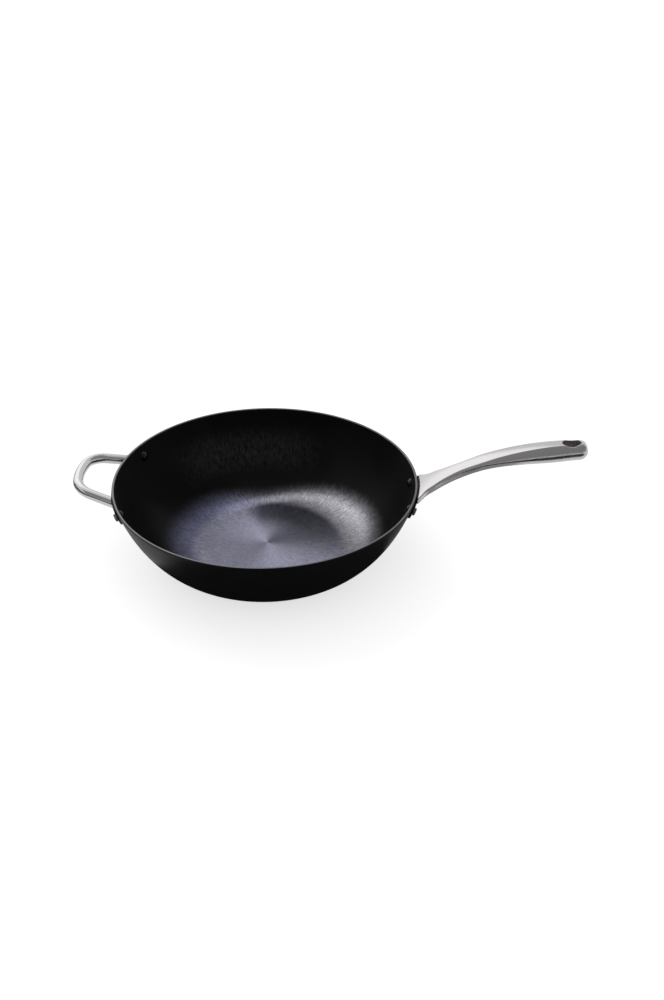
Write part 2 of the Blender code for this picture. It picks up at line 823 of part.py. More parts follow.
def loop_half_path():
    """Half of the loop's centreline: (reach, across), from the bowl's side to the middle."""
    leg_start = Vector((RIM_RADIUS - LEG_OVERRUN, LEG_HALF_SPREAD))
    corner = Vector((RIM_RADIUS + SHOULDER_REACH, SHOULDER_HALF_WIDTH))
    leg = (leg_start - corner).normalized()
    bar = Vector((math.sin(FAR_BAR_BOW), -math.cos(FAR_BAR_BOW)))
    half_angle = leg.angle(bar) / 2
    centre = corner + (leg + bar).normalized() * SHOULDER_ROUND / math.sin(half_angle)
    leg_tangent = corner + leg * SHOULDER_ROUND / math.tan(half_angle)
    bar_tangent = corner + bar * SHOULDER_ROUND / math.tan(half_angle)
    start = math.atan2(leg_tangent.y - centre.y, leg_tangent.x - centre.x)
    yield tuple(leg_start)
    yield from arc(centre, SHOULDER_ROUND, start, FAR_BAR_BOW, 9)
    bow_radius = bar_tangent.y / math.sin(FAR_BAR_BOW)
    bow_middle = bar_tangent.x - bow_radius * math.cos(FAR_BAR_BOW)
    yield from arc((bow_middle, 0), bow_radius, 0.6 * FAR_BAR_BOW, 0.2 * FAR_BAR_BOW, 1)


def leg_centre(side):
    """Where a leg's centreline meets the strap's outer face."""
    target = plate_outer(STRAP_PLATE)(LEG_DEPTH_BELOW_RIM) + SEAT_GAP
    points = list(loop_half_path())
    first, second = Vector(points[0]), Vector(points[1])
    low, high = 0.0, 1.0
    for _ in range(40):
        middle = (low + high) / 2
        if first.lerp(second, middle).length < target:
            low = middle
        else:
            high = middle
    reach, across = first.lerp(second, low)
    return loop_plane_point(reach, side * across)


def spigot(name, side, growth, past_leg, collection):
    """The turned end of a leg that passes square through the strap."""
    centre = leg_centre(side)
    depth = LEG_DEPTH_BELOW_RIM + SPIGOT_DROP
    bearing = math.atan2(centre.y, centre.x)
    frame = screw_frame(bearing, depth)
    radius = SPIGOT_DIAMETER / 2 + growth
    inner = SEAT_GAP if growth == 0 else -SMALL_MARGIN
    outer = SEAT_GAP + STRAP_PLATE + past_leg
    profile = ((0, outer), (radius, outer), (radius, inner), (0, inner))
    pin = turned(name, profile, ROUND_STEPS, collection)
    pin.matrix_world = frame
    return pin


def loop_clearance_profile():
    """Everything nearer the bowl than the helper handle may reach, as a turned plug."""
    outer = plate_outer(STRAP_PLATE)
    rim_limit = RIM_RADIUS + LEG_RIM_CLEARANCE
    above = -2 * CUT_MARGIN
    bottom = STRAP_TOP + STRAP_HEIGHT + CUT_MARGIN
    count = 8
    yield 0.0, height_below_rim(above)
    yield max(rim_limit, outer(STRAP_TOP) + SEAT_GAP), height_below_rim(above)
    for i in range(count + 1):
        depth = STRAP_TOP + (bottom - STRAP_TOP) * i / count
        yield outer(depth) + SEAT_GAP, height_below_rim(depth)
    yield 0.0, height_below_rim(bottom)


def make_helper_handle(parts, cutters, material):
    """A bent round bar, cut to the strap at both legs, with a spigot at each end."""
    half = list(loop_half_path())
    path = [loop_plane_point(reach, across) for reach, across in half]
    path += [loop_plane_point(reach, -across) for reach, across in reversed(half)]
    curve = bpy.data.curves.new("helper_loop_path", "CURVE")
    curve.dimensions = "3D"
    curve.bevel_depth = BAR_DIAMETER / 2
    curve.bevel_resolution = 8
    curve.use_fill_caps = True
    spline = curve.splines.new("POLY")
    spline.points.add(len(path) - 1)
    for point, place in zip(spline.points, path):
        point.co = (*place, 1)
    bar = bpy.data.objects.new("helper_loop_path", curve)
    parts.objects.link(bar)
    bpy.context.view_layer.update()
    graph = bpy.context.evaluated_depsgraph_get()
    mesh = bpy.data.meshes.new_from_object(bar.evaluated_get(graph))
    bpy.data.objects.remove(bar, do_unlink=True)

    def build(shape):
        shape.from_mesh(mesh)
        bmesh.ops.remove_doubles(shape, verts=shape.verts, dist=0.00001)
        bmesh.ops.recalc_face_normals(shape, faces=shape.faces)

    loop = mesh_object("helper_handle", build, parts, material)
    plug = turned("helper_handle_plug", list(loop_clearance_profile()), RING_STEPS, cutters)
    cut(loop, plug)
    for label, side in LEG_SIDES.items():
        join(loop, spigot(f"helper_handle_spigot_{label}", side, 0.0, SMALL_MARGIN, cutters))
    shade(loop)


def main():
    clear_scene()
    parts = new_collection(COLLECTION_NAME)
    cutters = new_collection(f"{COLLECTION_NAME}_cutters")
    iron = new_material("seasoned_cast_iron", (0.018, 0.018, 0.020), 0.6, 0.45)
    steel = new_material("stainless_steel", (0.62, 0.61, 0.60), 1.0, 0.22)
    black = new_material("black_bracket", (0.020, 0.020, 0.021), 0.5, 0.50)
    screw_black = new_material("black_screw", (0.030, 0.030, 0.031), 0.8, 0.38)
    zinc = new_material("hidden_screw_steel", (0.45, 0.45, 0.46), 1.0, 0.35)
    make_bowl(parts, cutters, iron)
    make_long_bracket(parts, cutters, black)
    make_helper_bracket(parts, cutters, black)
    make_long_handle(parts, cutters, steel)
    make_helper_handle(parts, cutters, steel)
    for label, angle in LONG_SCREWS.items():
        frame = screw_frame(angle)
        make_screw(f"long_handle_screw_{label}", frame, BRACKET_PLATE, parts, screw_black)
        make_nut(f"long_handle_nut_{label}", frame, BRACKET_PLATE, parts, cutters, screw_black)
    for label, angle in HELPER_SCREWS.items():
        frame = screw_frame(angle)
        make_screw(f"helper_screw_{label}", frame, STRAP_PLATE, parts, screw_black)
        make_nut(f"helper_nut_{label}", frame, STRAP_PLATE, parts, cutters, screw_black)
    for label, offset in ROOT_SCREWS.items():
        make_root_screw(label, offset, parts, zinc)


main()
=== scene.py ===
"""The cast iron wok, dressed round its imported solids.

Sizes are in metres, in the part's own frame.
"""

import math
from collections import namedtuple

import bmesh
import bpy
from mathutils import Matrix, Vector


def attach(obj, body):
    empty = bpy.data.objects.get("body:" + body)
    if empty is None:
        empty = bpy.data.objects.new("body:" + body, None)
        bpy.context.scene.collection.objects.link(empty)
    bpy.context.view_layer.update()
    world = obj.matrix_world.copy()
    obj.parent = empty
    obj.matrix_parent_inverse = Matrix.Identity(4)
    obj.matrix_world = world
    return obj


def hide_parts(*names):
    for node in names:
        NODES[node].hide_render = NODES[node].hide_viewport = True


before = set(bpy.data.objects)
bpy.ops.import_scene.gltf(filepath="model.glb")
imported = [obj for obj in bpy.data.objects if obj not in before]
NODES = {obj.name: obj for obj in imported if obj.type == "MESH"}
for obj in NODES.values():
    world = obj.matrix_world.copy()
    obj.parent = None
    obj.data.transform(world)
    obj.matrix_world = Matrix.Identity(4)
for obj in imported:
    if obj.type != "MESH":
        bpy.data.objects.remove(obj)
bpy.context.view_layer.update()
BODY = "root"

# Sizes that are the part's own, as its source has them

# Clearances and margins
SEAT_GAP = 0.0003
HOLE_CLEARANCE = 0.0004
THROUGH_REACH = 0.030
CUT_MARGIN = 0.010
SMALL_MARGIN = 0.002
SLOPE_STEP = 0.0005

# Bowl
RIM_RADIUS = 0.1609
BOWL_HEIGHT = 0.0830
BASE_RADIUS = 0.0965
FLOOR_RADIUS = 0.080
WALL = 0.0025
BASE_THICKNESS = 0.0034
RIM_LEAN = math.radians(16.8)
OUTER_WALL_PULL = 0.0740
INNER_WALL_PULL = 0.0735
OUTER_HEEL_PULL = 0.004
INNER_HEEL_PULL = 0.020
LIP_OUTER_ROUND = 0.0010
LIP_INNER_ROUND = 0.0005

# Screws through the bowl's wall
SHANK_DIAMETER = 0.0050
SCREW_DEPTH_BELOW_RIM = 0.0133
LONG_SCREW_ANGLE = math.radians(9.6)
HELPER_SCREW_ANGLE = math.radians(22.8)
LONG_SCREWS = (-LONG_SCREW_ANGLE, LONG_SCREW_ANGLE)
HELPER_SCREWS = (math.pi + HELPER_SCREW_ANGLE, math.pi - HELPER_SCREW_ANGLE)

# Hidden screws in the long handle's root, and the pad that it stands on
PAD_PROUD = 0.0016
ROOT_SCREW_SPACING = 0.0160
ROOT_SCREW_DEPTH_BELOW_RIM = 0.0042
ROOT_SCREW_SHANK = 0.0032
ROOT_SCREW_LENGTH = 0.0068
ROOT_SCREW_SINK = 0.0009
ROOT_SCREW_END_GAP = 0.0006

# Long handle
HANDLE_REACH = 0.1699
TOP_LINE_START = 0.0011
TOP_LINE_START_RISE = 0.0003
TOP_LINE_START_SLOPE = math.radians(37.2)
TOP_LINE_START_PULL = 0.073
TOP_LINE_END_RISE = 0.0600
TOP_LINE_END_SLOPE = 0.0
TOP_LINE_END_PULL = 0.0447
FACET_SLOPE = math.radians(42)
TIP_ROUND = 0.0085
TIP_SHRINK = 0.8
ROOT_OVERRUN = 0.012

# Cross-sections of the long handle, from root to tip. Each value below is read down its column:
# the place as a share of the handle's reach, the half width of the top band, the run of the
# sloping facet beside it, the radius of the side, the upright part of the side, the radius of the
# lower edge, and how far the underside bellies down in the middle.
Section = namedtuple("Section", "place band facet side upright edge belly")
SECTION_PLACES = (
    -0.059, 0.012, 0.047, 0.097, 0.164, 0.258,
    0.375, 0.492, 0.609, 0.785, 0.960, 1.007,
)
BAND_HALF_WIDTHS = (
    0.0300, 0.0222, 0.0163, 0.0134, 0.0102, 0.0080,
    0.0087, 0.0080, 0.0074, 0.0062, 0.0056, 0.0055,
)
FACET_RUNS = (
    0.0008, 0.0008, 0.0009, 0.0010, 0.0012, 0.0016,
    0.0018, 0.0034, 0.0038, 0.0037, 0.0027, 0.0025,
)
SIDE_RADII = (
    0.0018, 0.0018, 0.0022, 0.0025, 0.0027, 0.0028,
    0.0029, 0.0044, 0.0080, 0.0122, 0.0116, 0.0113,
)
SIDE_UPRIGHTS = (
    0.0028, 0.0028, 0.0028, 0.0030, 0.0031, 0.0031,
    0.0026, 0.0012, 0.0006, 0.0, 0.0, 0.0,
)
LOWER_EDGE_RADII = (
    0.0020, 0.0020, 0.0025, 0.0028, 0.0030, 0.0030,
    0.0030, 0.0030, 0.0030, 0.0030, 0.0040, 0.0042,
)
BELLY_DEPTHS = (
    0.0055, 0.0055, 0.0065, 0.0040, 0.0015, 0.0006,
    0.0004, 0.0004, 0.0004, 0.0004, 0.0004, 0.0004,
)
SECTIONS = [
    Section(*row)
    for row in zip(
        SECTION_PLACES, BAND_HALF_WIDTHS, FACET_RUNS, SIDE_RADII, SIDE_UPRIGHTS,
        LOWER_EDGE_RADII, BELLY_DEPTHS,
    )
]

# Hanging hole in the long handle
HOLE_TO_TIP = 0.0165
HOLE_LENGTH = 0.0190
HOLE_WIDTH = 0.0136
HOLE_LIP = 0.0009
HOLE_OUT = HANDLE_REACH - HOLE_TO_TIP

# Helper handle: a loop of round bar in one tilted plane
BAR_DIAMETER = 0.0110
LEG_OVERRUN = 0.0120
LEG_HALF_SPREAD = 0.0447
SHOULDER_HALF_WIDTH = 0.0333
SHOULDER_REACH = 0.0317
SHOULDER_ROUND = 0.0245
FAR_BAR_BOW = math.radians(12)
LOOP_LIFT = math.radians(11.6)
LEG_DEPTH_BELOW_RIM = 0.0070
LEG_RIM_CLEARANCE = 0.0010
SPIGOT_DIAMETER = 0.0050
SPIGOT_DROP = 0.0022

# The helper handle's strap
STRAP_PLATE = 0.0020
STRAP_TOP = 0.0055
STRAP_HEIGHT = 0.0155


# Values that only the dressed pieces have

# Smoothness, finer than the solids'
BOWL_STEPS = 288
WALL_STEPS = 56
FLOOR_RINGS = 14
BASE_RINGS = 6
LIP_STEPS = 5
HANDLE_STATION = 0.0017
TIP_STEPS = 16
CROWN_STEPS = 10
SIDE_STEPS = 16
LOWER_EDGE_STEPS = 12
BELLY_STEPS = 8
HOLE_STEPS = 72
HOLE_LIP_STEPS = 6
SHOULDER_STEPS = 24
BOW_STEPS = 4
PLUG_STEPS = 24
ROUND_STEPS = 48
RING_STEPS = 360
HALVINGS = 40
WELD_DISTANCE = 0.000002
SHARP_ANGLE = math.radians(30)
HANDLE_SHARP_ANGLE = math.radians(24)

# The handle's crown is a touch flatter than the source's, and the loop's corner a touch nearer,
# because a finer curve would stand out beyond the solids' facets
TOP_CROWN = 0.00067
FACET_ALLOWANCE = 0.00013

# Easings of edges, and where along a curve its points lie
LIP_BULGE = 0.45
CREASE_EASE = 0.00006
FACET_SHARES = (0.12, 0.5, 0.88)
LOWER_EDGE_START = -0.03
SMALLEST_SQUEEZE = 0.02
HOLE_LIP_FLARE = 0.0004
BOW_FROM, BOW_TO = 0.9, 0.1

# Zones of the bowl's surface and of the long handle's, in the order of their materials
INSIDE, RIM, OUTSIDE = range(3)
POLISHED, HOLE_WALL = range(2)
HOLE_WALL_LIMIT = 1.03


# Curves that the pieces share


def last_share(holds):
    """How far a condition holds between 0, where it does, and 1, by halving."""
    low, high = 0.0, 1.0
    for _ in range(HALVINGS):
        middle = (low + high) / 2
        if holds(middle):
            low = middle
        else:
            high = middle
    return low


def bezier(start, start_handle, end_handle, end, t):
    """A point of a cubic curve, each corner being a pair of numbers."""
    weights = ((1 - t) ** 3, 3 * t * (1 - t) ** 2, 3 * t * t * (1 - t), t**3)
    corners = (start, start_handle, end_handle, end)
    return tuple(sum(w * c[axis] for w, c in zip(weights, corners)) for axis in (0, 1))


def eased_corner(start, corner, end, t):
    """A point of the curve that leads from start to end and eases the corner between them."""
    return tuple(
        (1 - t) ** 2 * a + 2 * t * (1 - t) * b + t * t * c for a, b, c in zip(start, corner, end)
    )


def arc(centre, radius, start, end, count):
    """Points along an arc, both ends included."""
    for i in range(count + 1):
        angle = start + (end - start) * i / count
        yield centre[0] + radius * math.cos(angle), centre[1] + radius * math.sin(angle)


def wall_curve(top_radius, wall_pull, foot_radius, foot_pull, foot_height, t):
    """One side of the bowl's wall as (radius, height), from rim (t = 0) to flat (t = 1)."""
    return bezier(
        (top_radius, BOWL_HEIGHT),
        (top_radius - wall_pull * math.sin(RIM_LEAN), BOWL_HEIGHT - wall_pull * math.cos(RIM_LEAN)),
        (foot_radius + foot_pull, foot_height),
        (foot_radius, foot_height),
        t,
    )


def outer_wall(t):
    return wall_curve(RIM_RADIUS, OUTER_WALL_PULL, BASE_RADIUS, OUTER_HEEL_PULL, 0.0, t)


def inner_wall(t):
    top_radius = RIM_RADIUS - WALL / math.cos(RIM_LEAN)
    return wall_curve(
        top_radius, INNER_WALL_PULL, FLOOR_RADIUS, INNER_HEEL_PULL, BASE_THICKNESS, t
    )


def curve_at_depth(curve, depth):
    """Where a wall curve lies this far below the rim."""
    return last_share(lambda t: BOWL_HEIGHT - curve(t)[1] < depth)


def outer_radius(depth):
    """Outer radius of the bowl this far below the rim. Above the rim the wall's lean goes on."""
    if depth <= 0:
        return RIM_RADIUS - depth * math.tan(RIM_LEAN)
    return outer_wall(curve_at_depth(outer_wall, depth))[0]


def wall_lean(depth):
    """The wall's angle from upright this far below the rim."""
    rise = outer_radius(depth - SLOPE_STEP) - outer_radius(depth + SLOPE_STEP)
    return math.atan(rise / (2 * SLOPE_STEP))


def plate_inner(depth):
    """Radius of a bracket's face toward the wall."""
    return outer_radius(depth) + SEAT_GAP / math.cos(wall_lean(depth))


def plate_outer(plate, depth):
    """Radius of the outer face of a bracket this thick."""
    return outer_radius(depth) + (SEAT_GAP + plate) / math.cos(wall_lean(depth))


# Mesh tools


def mesh_object(name, build, materials=()):
    """A new object whose mesh is filled by build, a function of one bmesh."""
    shape = bmesh.new()
    build(shape)
    mesh = bpy.data.meshes.new(name)
    shape.to_mesh(mesh)
    shape.free()
    for material in materials:
        mesh.materials.append(material)
    obj = bpy.data.objects.new(name, mesh)
    bpy.context.scene.collection.objects.link(obj)
    return obj


def turned(name, profile, steps, materials=(), zones=None):
    """A closed solid turned about Z from (radius, height) points that start and end on the axis.

    Zones, if given, are the material numbers of the bands between the points.
    """
    angles = [2 * math.pi * i / steps for i in range(steps)]

    def ring_points(radius, height):
        if radius == 0:
            return [(0, 0, height)]
        return [(radius * math.cos(angle), radius * math.sin(angle), height) for angle in angles]

    def build(shape):
        rings = [[shape.verts.new(point) for point in ring_points(*place)] for place in profile]
        for band, (ring, next_ring) in enumerate(zip(rings, rings[1:])):
            for i in range(steps):
                j = (i + 1) % steps
                if len(ring) == 1:
                    corners = (ring[0], next_ring[i], next_ring[j])
                elif len(next_ring) == 1:
                    corners = (ring[i], next_ring[0], ring[j])
                else:
                    corners = (ring[i], next_ring[i], next_ring[j], ring[j])
                face = shape.faces.new(corners)
                if zones:
                    face.material_index = zones[band]
        bmesh.ops.recalc_face_normals(shape, faces=shape.faces)

    return mesh_object(name, build, materials)


def lofted(name, rings, materials=()):
    """A closed skin over rings that have equal counts of points, with flat ends."""

    def build(shape):
        rows = [[shape.verts.new(point) for point in ring] for ring in rings]
        count = len(rows[0])
        for row, next_row in zip(rows, rows[1:]):
            for i in range(count):
                j = (i + 1) % count
                shape.faces.new((row[i], row[j], next_row[j], next_row[i]))
        shape.faces.new(rows[0])
        shape.faces.new(rows[-1])
        bmesh.ops.recalc_face_normals(shape, faces=shape.faces)

    return mesh_object(name, build, materials)


def boolean(obj, other, operation):
    """Cuts or joins at once, and removes the other object."""
    modifier = obj.modifiers.new(operation.title(), "BOOLEAN")
    modifier.operation = operation
    modifier.solver = "EXACT"
    modifier.object = other
    weld = obj.modifiers.new("Weld", "WELD")
    weld.merge_threshold = WELD_DISTANCE
    bpy.context.view_layer.update()
    graph = bpy.context.evaluated_depsgraph_get()
    mesh = bpy.data.meshes.new_from_object(obj.evaluated_get(graph))
    obj.modifiers.clear()
    old = obj.data
    obj.data = mesh
    bpy.data.meshes.remove(old)
    bpy.data.objects.remove(other, do_unlink=True)


def cut(obj, cutter):
    boolean(obj, cutter, "DIFFERENCE")


def shade(obj, sharp_angle):
    """Smooth shading, with a crease wherever the surface turns by more than this angle."""
    obj.data.shade_smooth()
    obj.data.set_sharp_from_angle(angle=sharp_angle)


def cylinder(diameter, top, bottom, place):
    """A rod along the Z axis of a place, from bottom to top on it."""
    radius = diameter / 2
    profile = ((0, top), (radius, top), (radius, bottom), (0, bottom))
    rod = turned("rod", profile, ROUND_STEPS)
    rod.matrix_world = place
    return rod


def screw_frame(angle, depth=SCREW_DEPTH_BELOW_RIM):
    """The matrix whose origin is on the bowl's outer wall and whose Z points straight out of it."""
    lean = wall_lean(depth)
    outward = Vector((math.cos(lean), 0, -math.sin(lean)))
    across = Vector((0, 1, 0))
    up = outward.cross(across)
    place = Matrix((-up, across, outward)).transposed().to_4x4()
    place.translation = (outer_radius(depth), 0, BOWL_HEIGHT - depth)
    return Matrix.Rotation(angle, 4, "Z") @ place


# Materials

# A mix node keeps its inputs for numbers and for colours apart
MIX_NUMBER_INPUTS = (0, 2, 3)
MIX_COLOUR_INPUTS = (0, 6, 7)
MIX_COLOUR_OUTPUT = 2


class Look:
    """One material, with short names for building its nodes."""

    def __init__(self, name):
        self.material = bpy.data.materials.new(name)
        self.material.use_nodes = True
        self.tree = self.material.node_tree
        self.shader = self.tree.nodes["Principled BSDF"]
        self.coordinates = self.add("ShaderNodeTexCoord").outputs["Object"]

    def add(self, kind, **settings):
        node = self.tree.nodes.new(kind)
        for key, value in settings.items():
            setattr(node, key, value)
        return node

    def fill(self, sockets, values):
        """Gives each input its value, which is a number, a colour or another node's output."""
        for socket, value in zip(sockets, values):
            if isinstance(value, bpy.types.NodeSocket):
                self.tree.links.new(value, socket)
            else:
                socket.default_value = value

    def set(self, **values):
        """Fills the shader's inputs by name, with _ for a space."""
        for name, value in values.items():
            self.fill([self.shader.inputs[name.replace("_", " ")]], [value])

    def math(self, operation, *values, clamp=False):
        node = self.add("ShaderNodeMath", operation=operation, use_clamp=clamp)
        self.fill(node.inputs, values)
        return node.outputs[0]

    def plus(self, first, second):
        return self.math("ADD", first, second)

    def times(self, first, second):
        return self.math("MULTIPLY", first, second)

    def times_plus(self, first, second, third):
        """The product of the first two, plus the third."""
        return self.math("MULTIPLY_ADD", first, second, third)

    def mix(self, share, first, second):
        node = self.add("ShaderNodeMix", data_type="FLOAT")
        self.fill([node.inputs[i] for i in MIX_NUMBER_INPUTS], (share, first, second))
        return node.outputs[0]

    def mix_colours(self, share, first, second):
        node = self.add("ShaderNodeMix", data_type="RGBA")
        colours = [
            (*colour, 1.0) if isinstance(colour, tuple) else colour for colour in (first, second)
        ]
        self.fill([node.inputs[i] for i in MIX_COLOUR_INPUTS], (share, *colours))
        return node.outputs[MIX_COLOUR_OUTPUT]

    def scaled(self, colour, factor):
        node = self.add("ShaderNodeVectorMath", operation="SCALE")
        self.fill((node.inputs[0], node.inputs["Scale"]), (colour, factor))
        return node.outputs[0]

    def ramp(self, value, start, end, before=0.0, after=1.0):
        """Goes smoothly from before to after while the value goes from start to end."""
        node = self.add("ShaderNodeMapRange", interpolation_type="SMOOTHSTEP")
        self.fill(node.inputs, (value, start, end, before, after))
        return node.outputs[0]

    def xyz(self, vector):
        node = self.add("ShaderNodeSeparateXYZ")
        self.fill(node.inputs, (vector,))
        return node.outputs

    def vector(self, x, y, z):
        node = self.add("ShaderNodeCombineXYZ")
        self.fill(node.inputs, (x, y, z))
        return node.outputs[0]

    def noise(self, vector, scale, detail, roughness, distortion=0.0):
        node = self.add("ShaderNodeTexNoise")
        names = ("Vector", "Scale", "Detail", "Roughness", "Distortion")
        values = (vector, scale, detail, roughness, distortion)
        self.fill([node.inputs[name] for name in names], values)
        return node.outputs[0]

    def bump(self, height, distance, strength):
        node = self.add("ShaderNodeBump")
        names = ("Height", "Distance", "Strength")
        self.fill([node.inputs[name] for name in names], (height, distance, strength))
        return node.outputs[0]


class TurnedLook(Look):
    """A material laid out round the bowl's axis. Azimuths are in degrees from the long handle."""

    def __init__(self, name):
        super().__init__(name)
        x, y, self.height = self.xyz(self.coordinates)
        self.radius = self.math("SQRT", self.plus(self.times(x, x), self.times(y, y)))
        self.angle = self.math("ARCTAN2", y, x)
        self.round_x = self.math("COSINE", self.angle)
        self.round_y = self.math("SINE", self.angle)

    def round_noise(self, turns, per_metre, detail, roughness, distortion=0.0):
        """Noise that wraps round the axis, this fine round it and outward."""
        place = self.vector(
            self.times(self.round_x, turns),
            self.times(self.round_y, turns),
            self.times(self.plus(self.radius, self.height), per_metre),
        )
        return self.noise(place, 1.0, detail, roughness, distortion)

    def facing(self, azimuth, start, end=1.0):
        """0 to 1 toward this azimuth. Start and end are cosines of the angle away from it."""
        cosine = self.math("COSINE", self.math("SUBTRACT", self.angle, math.radians(azimuth)))
        return self.ramp(cosine, start, end)

    def sector(self, start, end, before=0.0, after=1.0):
        """A ramp from one azimuth to another."""
        return self.ramp(self.angle, math.radians(start), math.radians(end), before, after)


# The dark and the light colour that each surface varies between, and the one colour of the faint
# patches on the wall
OUTSIDE_IRON = ((0.0060, 0.0060, 0.0062), (0.0108, 0.0108, 0.0111))
# The floor's bluish tint is a painted reflection. The heel's bluer and greyer colours are shaded
# and lit copies of its iron: painted shade and painted light.
DISC_IRON = ((0.080, 0.081, 0.106), (0.212, 0.213, 0.278))
SHADED_HEEL_IRON = ((0.074, 0.076, 0.124), (0.195, 0.199, 0.312))
LIT_HEEL_IRON = ((0.084, 0.083, 0.092), (0.222, 0.220, 0.240))
WALL_IRON = ((0.0014, 0.0014, 0.0015), (0.0050, 0.0052, 0.0050))
GROUND_IRON = ((0.10, 0.10, 0.103), (0.16, 0.16, 0.163))
SATIN_STEEL = ((0.394, 0.385, 0.385), (0.481, 0.469, 0.472))
# The hanging hole's steel is darkened partly as painted shade inside the hole
SHADED_HOLE_STEEL = ((0.175, 0.150, 0.142), (0.250, 0.220, 0.210))
FAR_PATCH_COLOUR = (0.036, 0.039, 0.037)

# How much bluer than grey the coated pieces are, and how far roughness strays from its middle
COAT_BLUE = 1.03
SMOOTHER, ROUGHER, COAT_ROUGHER = 0.05, 0.05, 0.07

# How far the steel's grain is squeezed along each axis: brushed along X, or even
BRUSHED_GRAIN = (40, 2200, 2200)
EVEN_GRAIN = (500, 500, 500)

# How much the patches count beside the grain in the outer iron's relief
RELIEF_PATCHES = 2.0

# How much the rays, the grooves and the grain count in the turned iron's tone and in its relief
TONE_RAYS, TONE_GROOVES = 0.65, 0.35
RELIEF_GROOVES, RELIEF_GRAIN = 0.5, 0.25

# The turned floor: the radii between which it fades into the wall, how far the rays shift them,
# how far its lit side and its left side shift them to carry painted light up the wall, and the
# radii between which the flat disc passes into the heel
FLOOR_EDGE = (0.089, 0.113)
EDGE_FRAY = 0.010
LIT_SIDE_SHIFT = -0.0213
LEFT_SIDE_SHIFT = -0.0095
HEEL_RADII = (0.074, 0.086)

# The painted highlight of two bright fans on the disc, and the azimuths where the painted shade on
# its far right begins and ends
FAN_AZIMUTH = 126
FAN_SHARPNESS = 1.5
FAN_LIGHT = 1.28
SHADE_BEGINS = (-20, 84)
SHADE_ENDS = (100, 122)

# The arc where the far side's heel catches the light: how much it adds, how its radius changes
# from one azimuth to another, and how it fades away from that radius
ARC_LIGHT = 1.15
ARC_AZIMUTHS = (50, 116)
ARC_RADII = (0.1035, 0.080)
ARC_FADE = (0.0015, 0.0125)


def iron_outside():
    """Seasoned cast iron, matt black, with the fine grain of the sand mould."""
    look = Look("seasoned_iron_outside")
    grain = look.noise(look.coordinates, scale=900, detail=4, roughness=0.6)
    patches = look.noise(look.coordinates, scale=45, detail=3, roughness=0.5)
    relief = look.plus(look.times(patches, RELIEF_PATCHES), grain)
    look.set(
        Base_Color=look.mix_colours(patches, *OUTSIDE_IRON),
        Roughness=look.mix(patches, 0.40, 0.52),
        Normal=look.bump(relief, distance=0.00010, strength=0.5),
        Specular_IOR_Level=0.10,
    )
    return look.material


def floor_share(look, rays, lit_side):
    """1 on the turned floor and 0 on the wall, with a frayed edge that lies higher on the lit side
    and on the left, which carries painted light up the wall there.
    """
    edge = look.times_plus(rays, EDGE_FRAY, look.radius)
    edge = look.times_plus(lit_side, LIT_SIDE_SHIFT, edge)
    left_side = look.facing(azimuth=162, start=0.45)
    edge = look.times_plus(left_side, LEFT_SIDE_SHIFT, edge)
    return look.ramp(edge, *FLOOR_EDGE, before=1.0, after=0.0)


def disc_light(look):
    """Two opposite bright fans over an even light, with the far right in shade."""
    fan = look.math("COSINE", look.times_plus(look.angle, 2.0, math.radians(-2 * FAN_AZIMUTH)))
    fan = look.math("POWER", look.math("MULTIPLY_ADD", fan, 0.5, 0.5, clamp=True), FAN_SHARPNESS)
    even_light = look.mix(look.facing(azimuth=180, start=-1.0), 0.45, 0.84)
    before_end = look.sector(*SHADE_ENDS, before=1.0, after=0.0)
    far_side = look.times(before_end, look.sector(*SHADE_BEGINS))
    shadow = look.ramp(look.radius, start=0.020, end=0.058, before=0.0, after=0.77)
    unshaded = look.math("SUBTRACT", 1.0, look.times(far_side, shadow))
    return look.times(look.times_plus(fan, FAN_LIGHT, even_light), unshaded)


def heel_light(look, lit_side):
    """Painted light on the heel: it brightens outward on its lit side, and dims outward on the
    other side as painted shade, with a painted glow toward the far side.
    """
    lit_side_light = look.ramp(look.radius, start=0.084, end=0.110, before=0.80, after=1.68)
    shaded_side_start = look.mix(look.facing(azimuth=135, start=0.45, end=0.9), 0.45, 0.98)
    shaded_side_light = look.ramp(look.radius, start=0.080, end=0.100, before=shaded_side_start, after=0.40)
    far_glow = look.facing(azimuth=75, start=0.0, end=0.85)
    return look.times_plus(far_glow, 0.36, look.mix(lit_side, shaded_side_light, lit_side_light))


def arc_share(look):
    """1 along the arc of light on the far side's heel, and 0 away from it."""
    arc_radius = look.sector(*ARC_AZIMUTHS, *ARC_RADII)
    off_arc = look.math("ABSOLUTE", look.math("SUBTRACT", look.radius, arc_radius))
    near_arc = look.ramp(off_arc, *ARC_FADE, before=1.0, after=0.0)
    return look.times(look.facing(azimuth=98, start=0.64, end=0.98), near_arc)


def floor_light(look, heel, lit_side):
    """Brightness of the turned floor, with streaks outward and a fine crinkle."""
    light = look.mix(heel, disc_light(look), heel_light(look, lit_side))
    light = look.times_plus(arc_share(look), ARC_LIGHT, light)
    streaks = look.round_noise(turns=110, per_metre=90, detail=3, roughness=0.6, distortion=0.4)
    streaks = look.ramp(streaks, start=0.34, end=0.66, before=0.74, after=1.28)
    streak_share = look.ramp(look.radius, start=0.015, end=0.092, before=0.12, after=1.0)
    light = look.times(light, look.mix(streak_share, 1.0, streaks))
    crinkle = look.round_noise(turns=34, per_metre=240, detail=3, roughness=0.6, distortion=1.6)
    return look.times(light, look.ramp(crinkle, start=0.32, end=0.68, before=0.84, after=1.48))


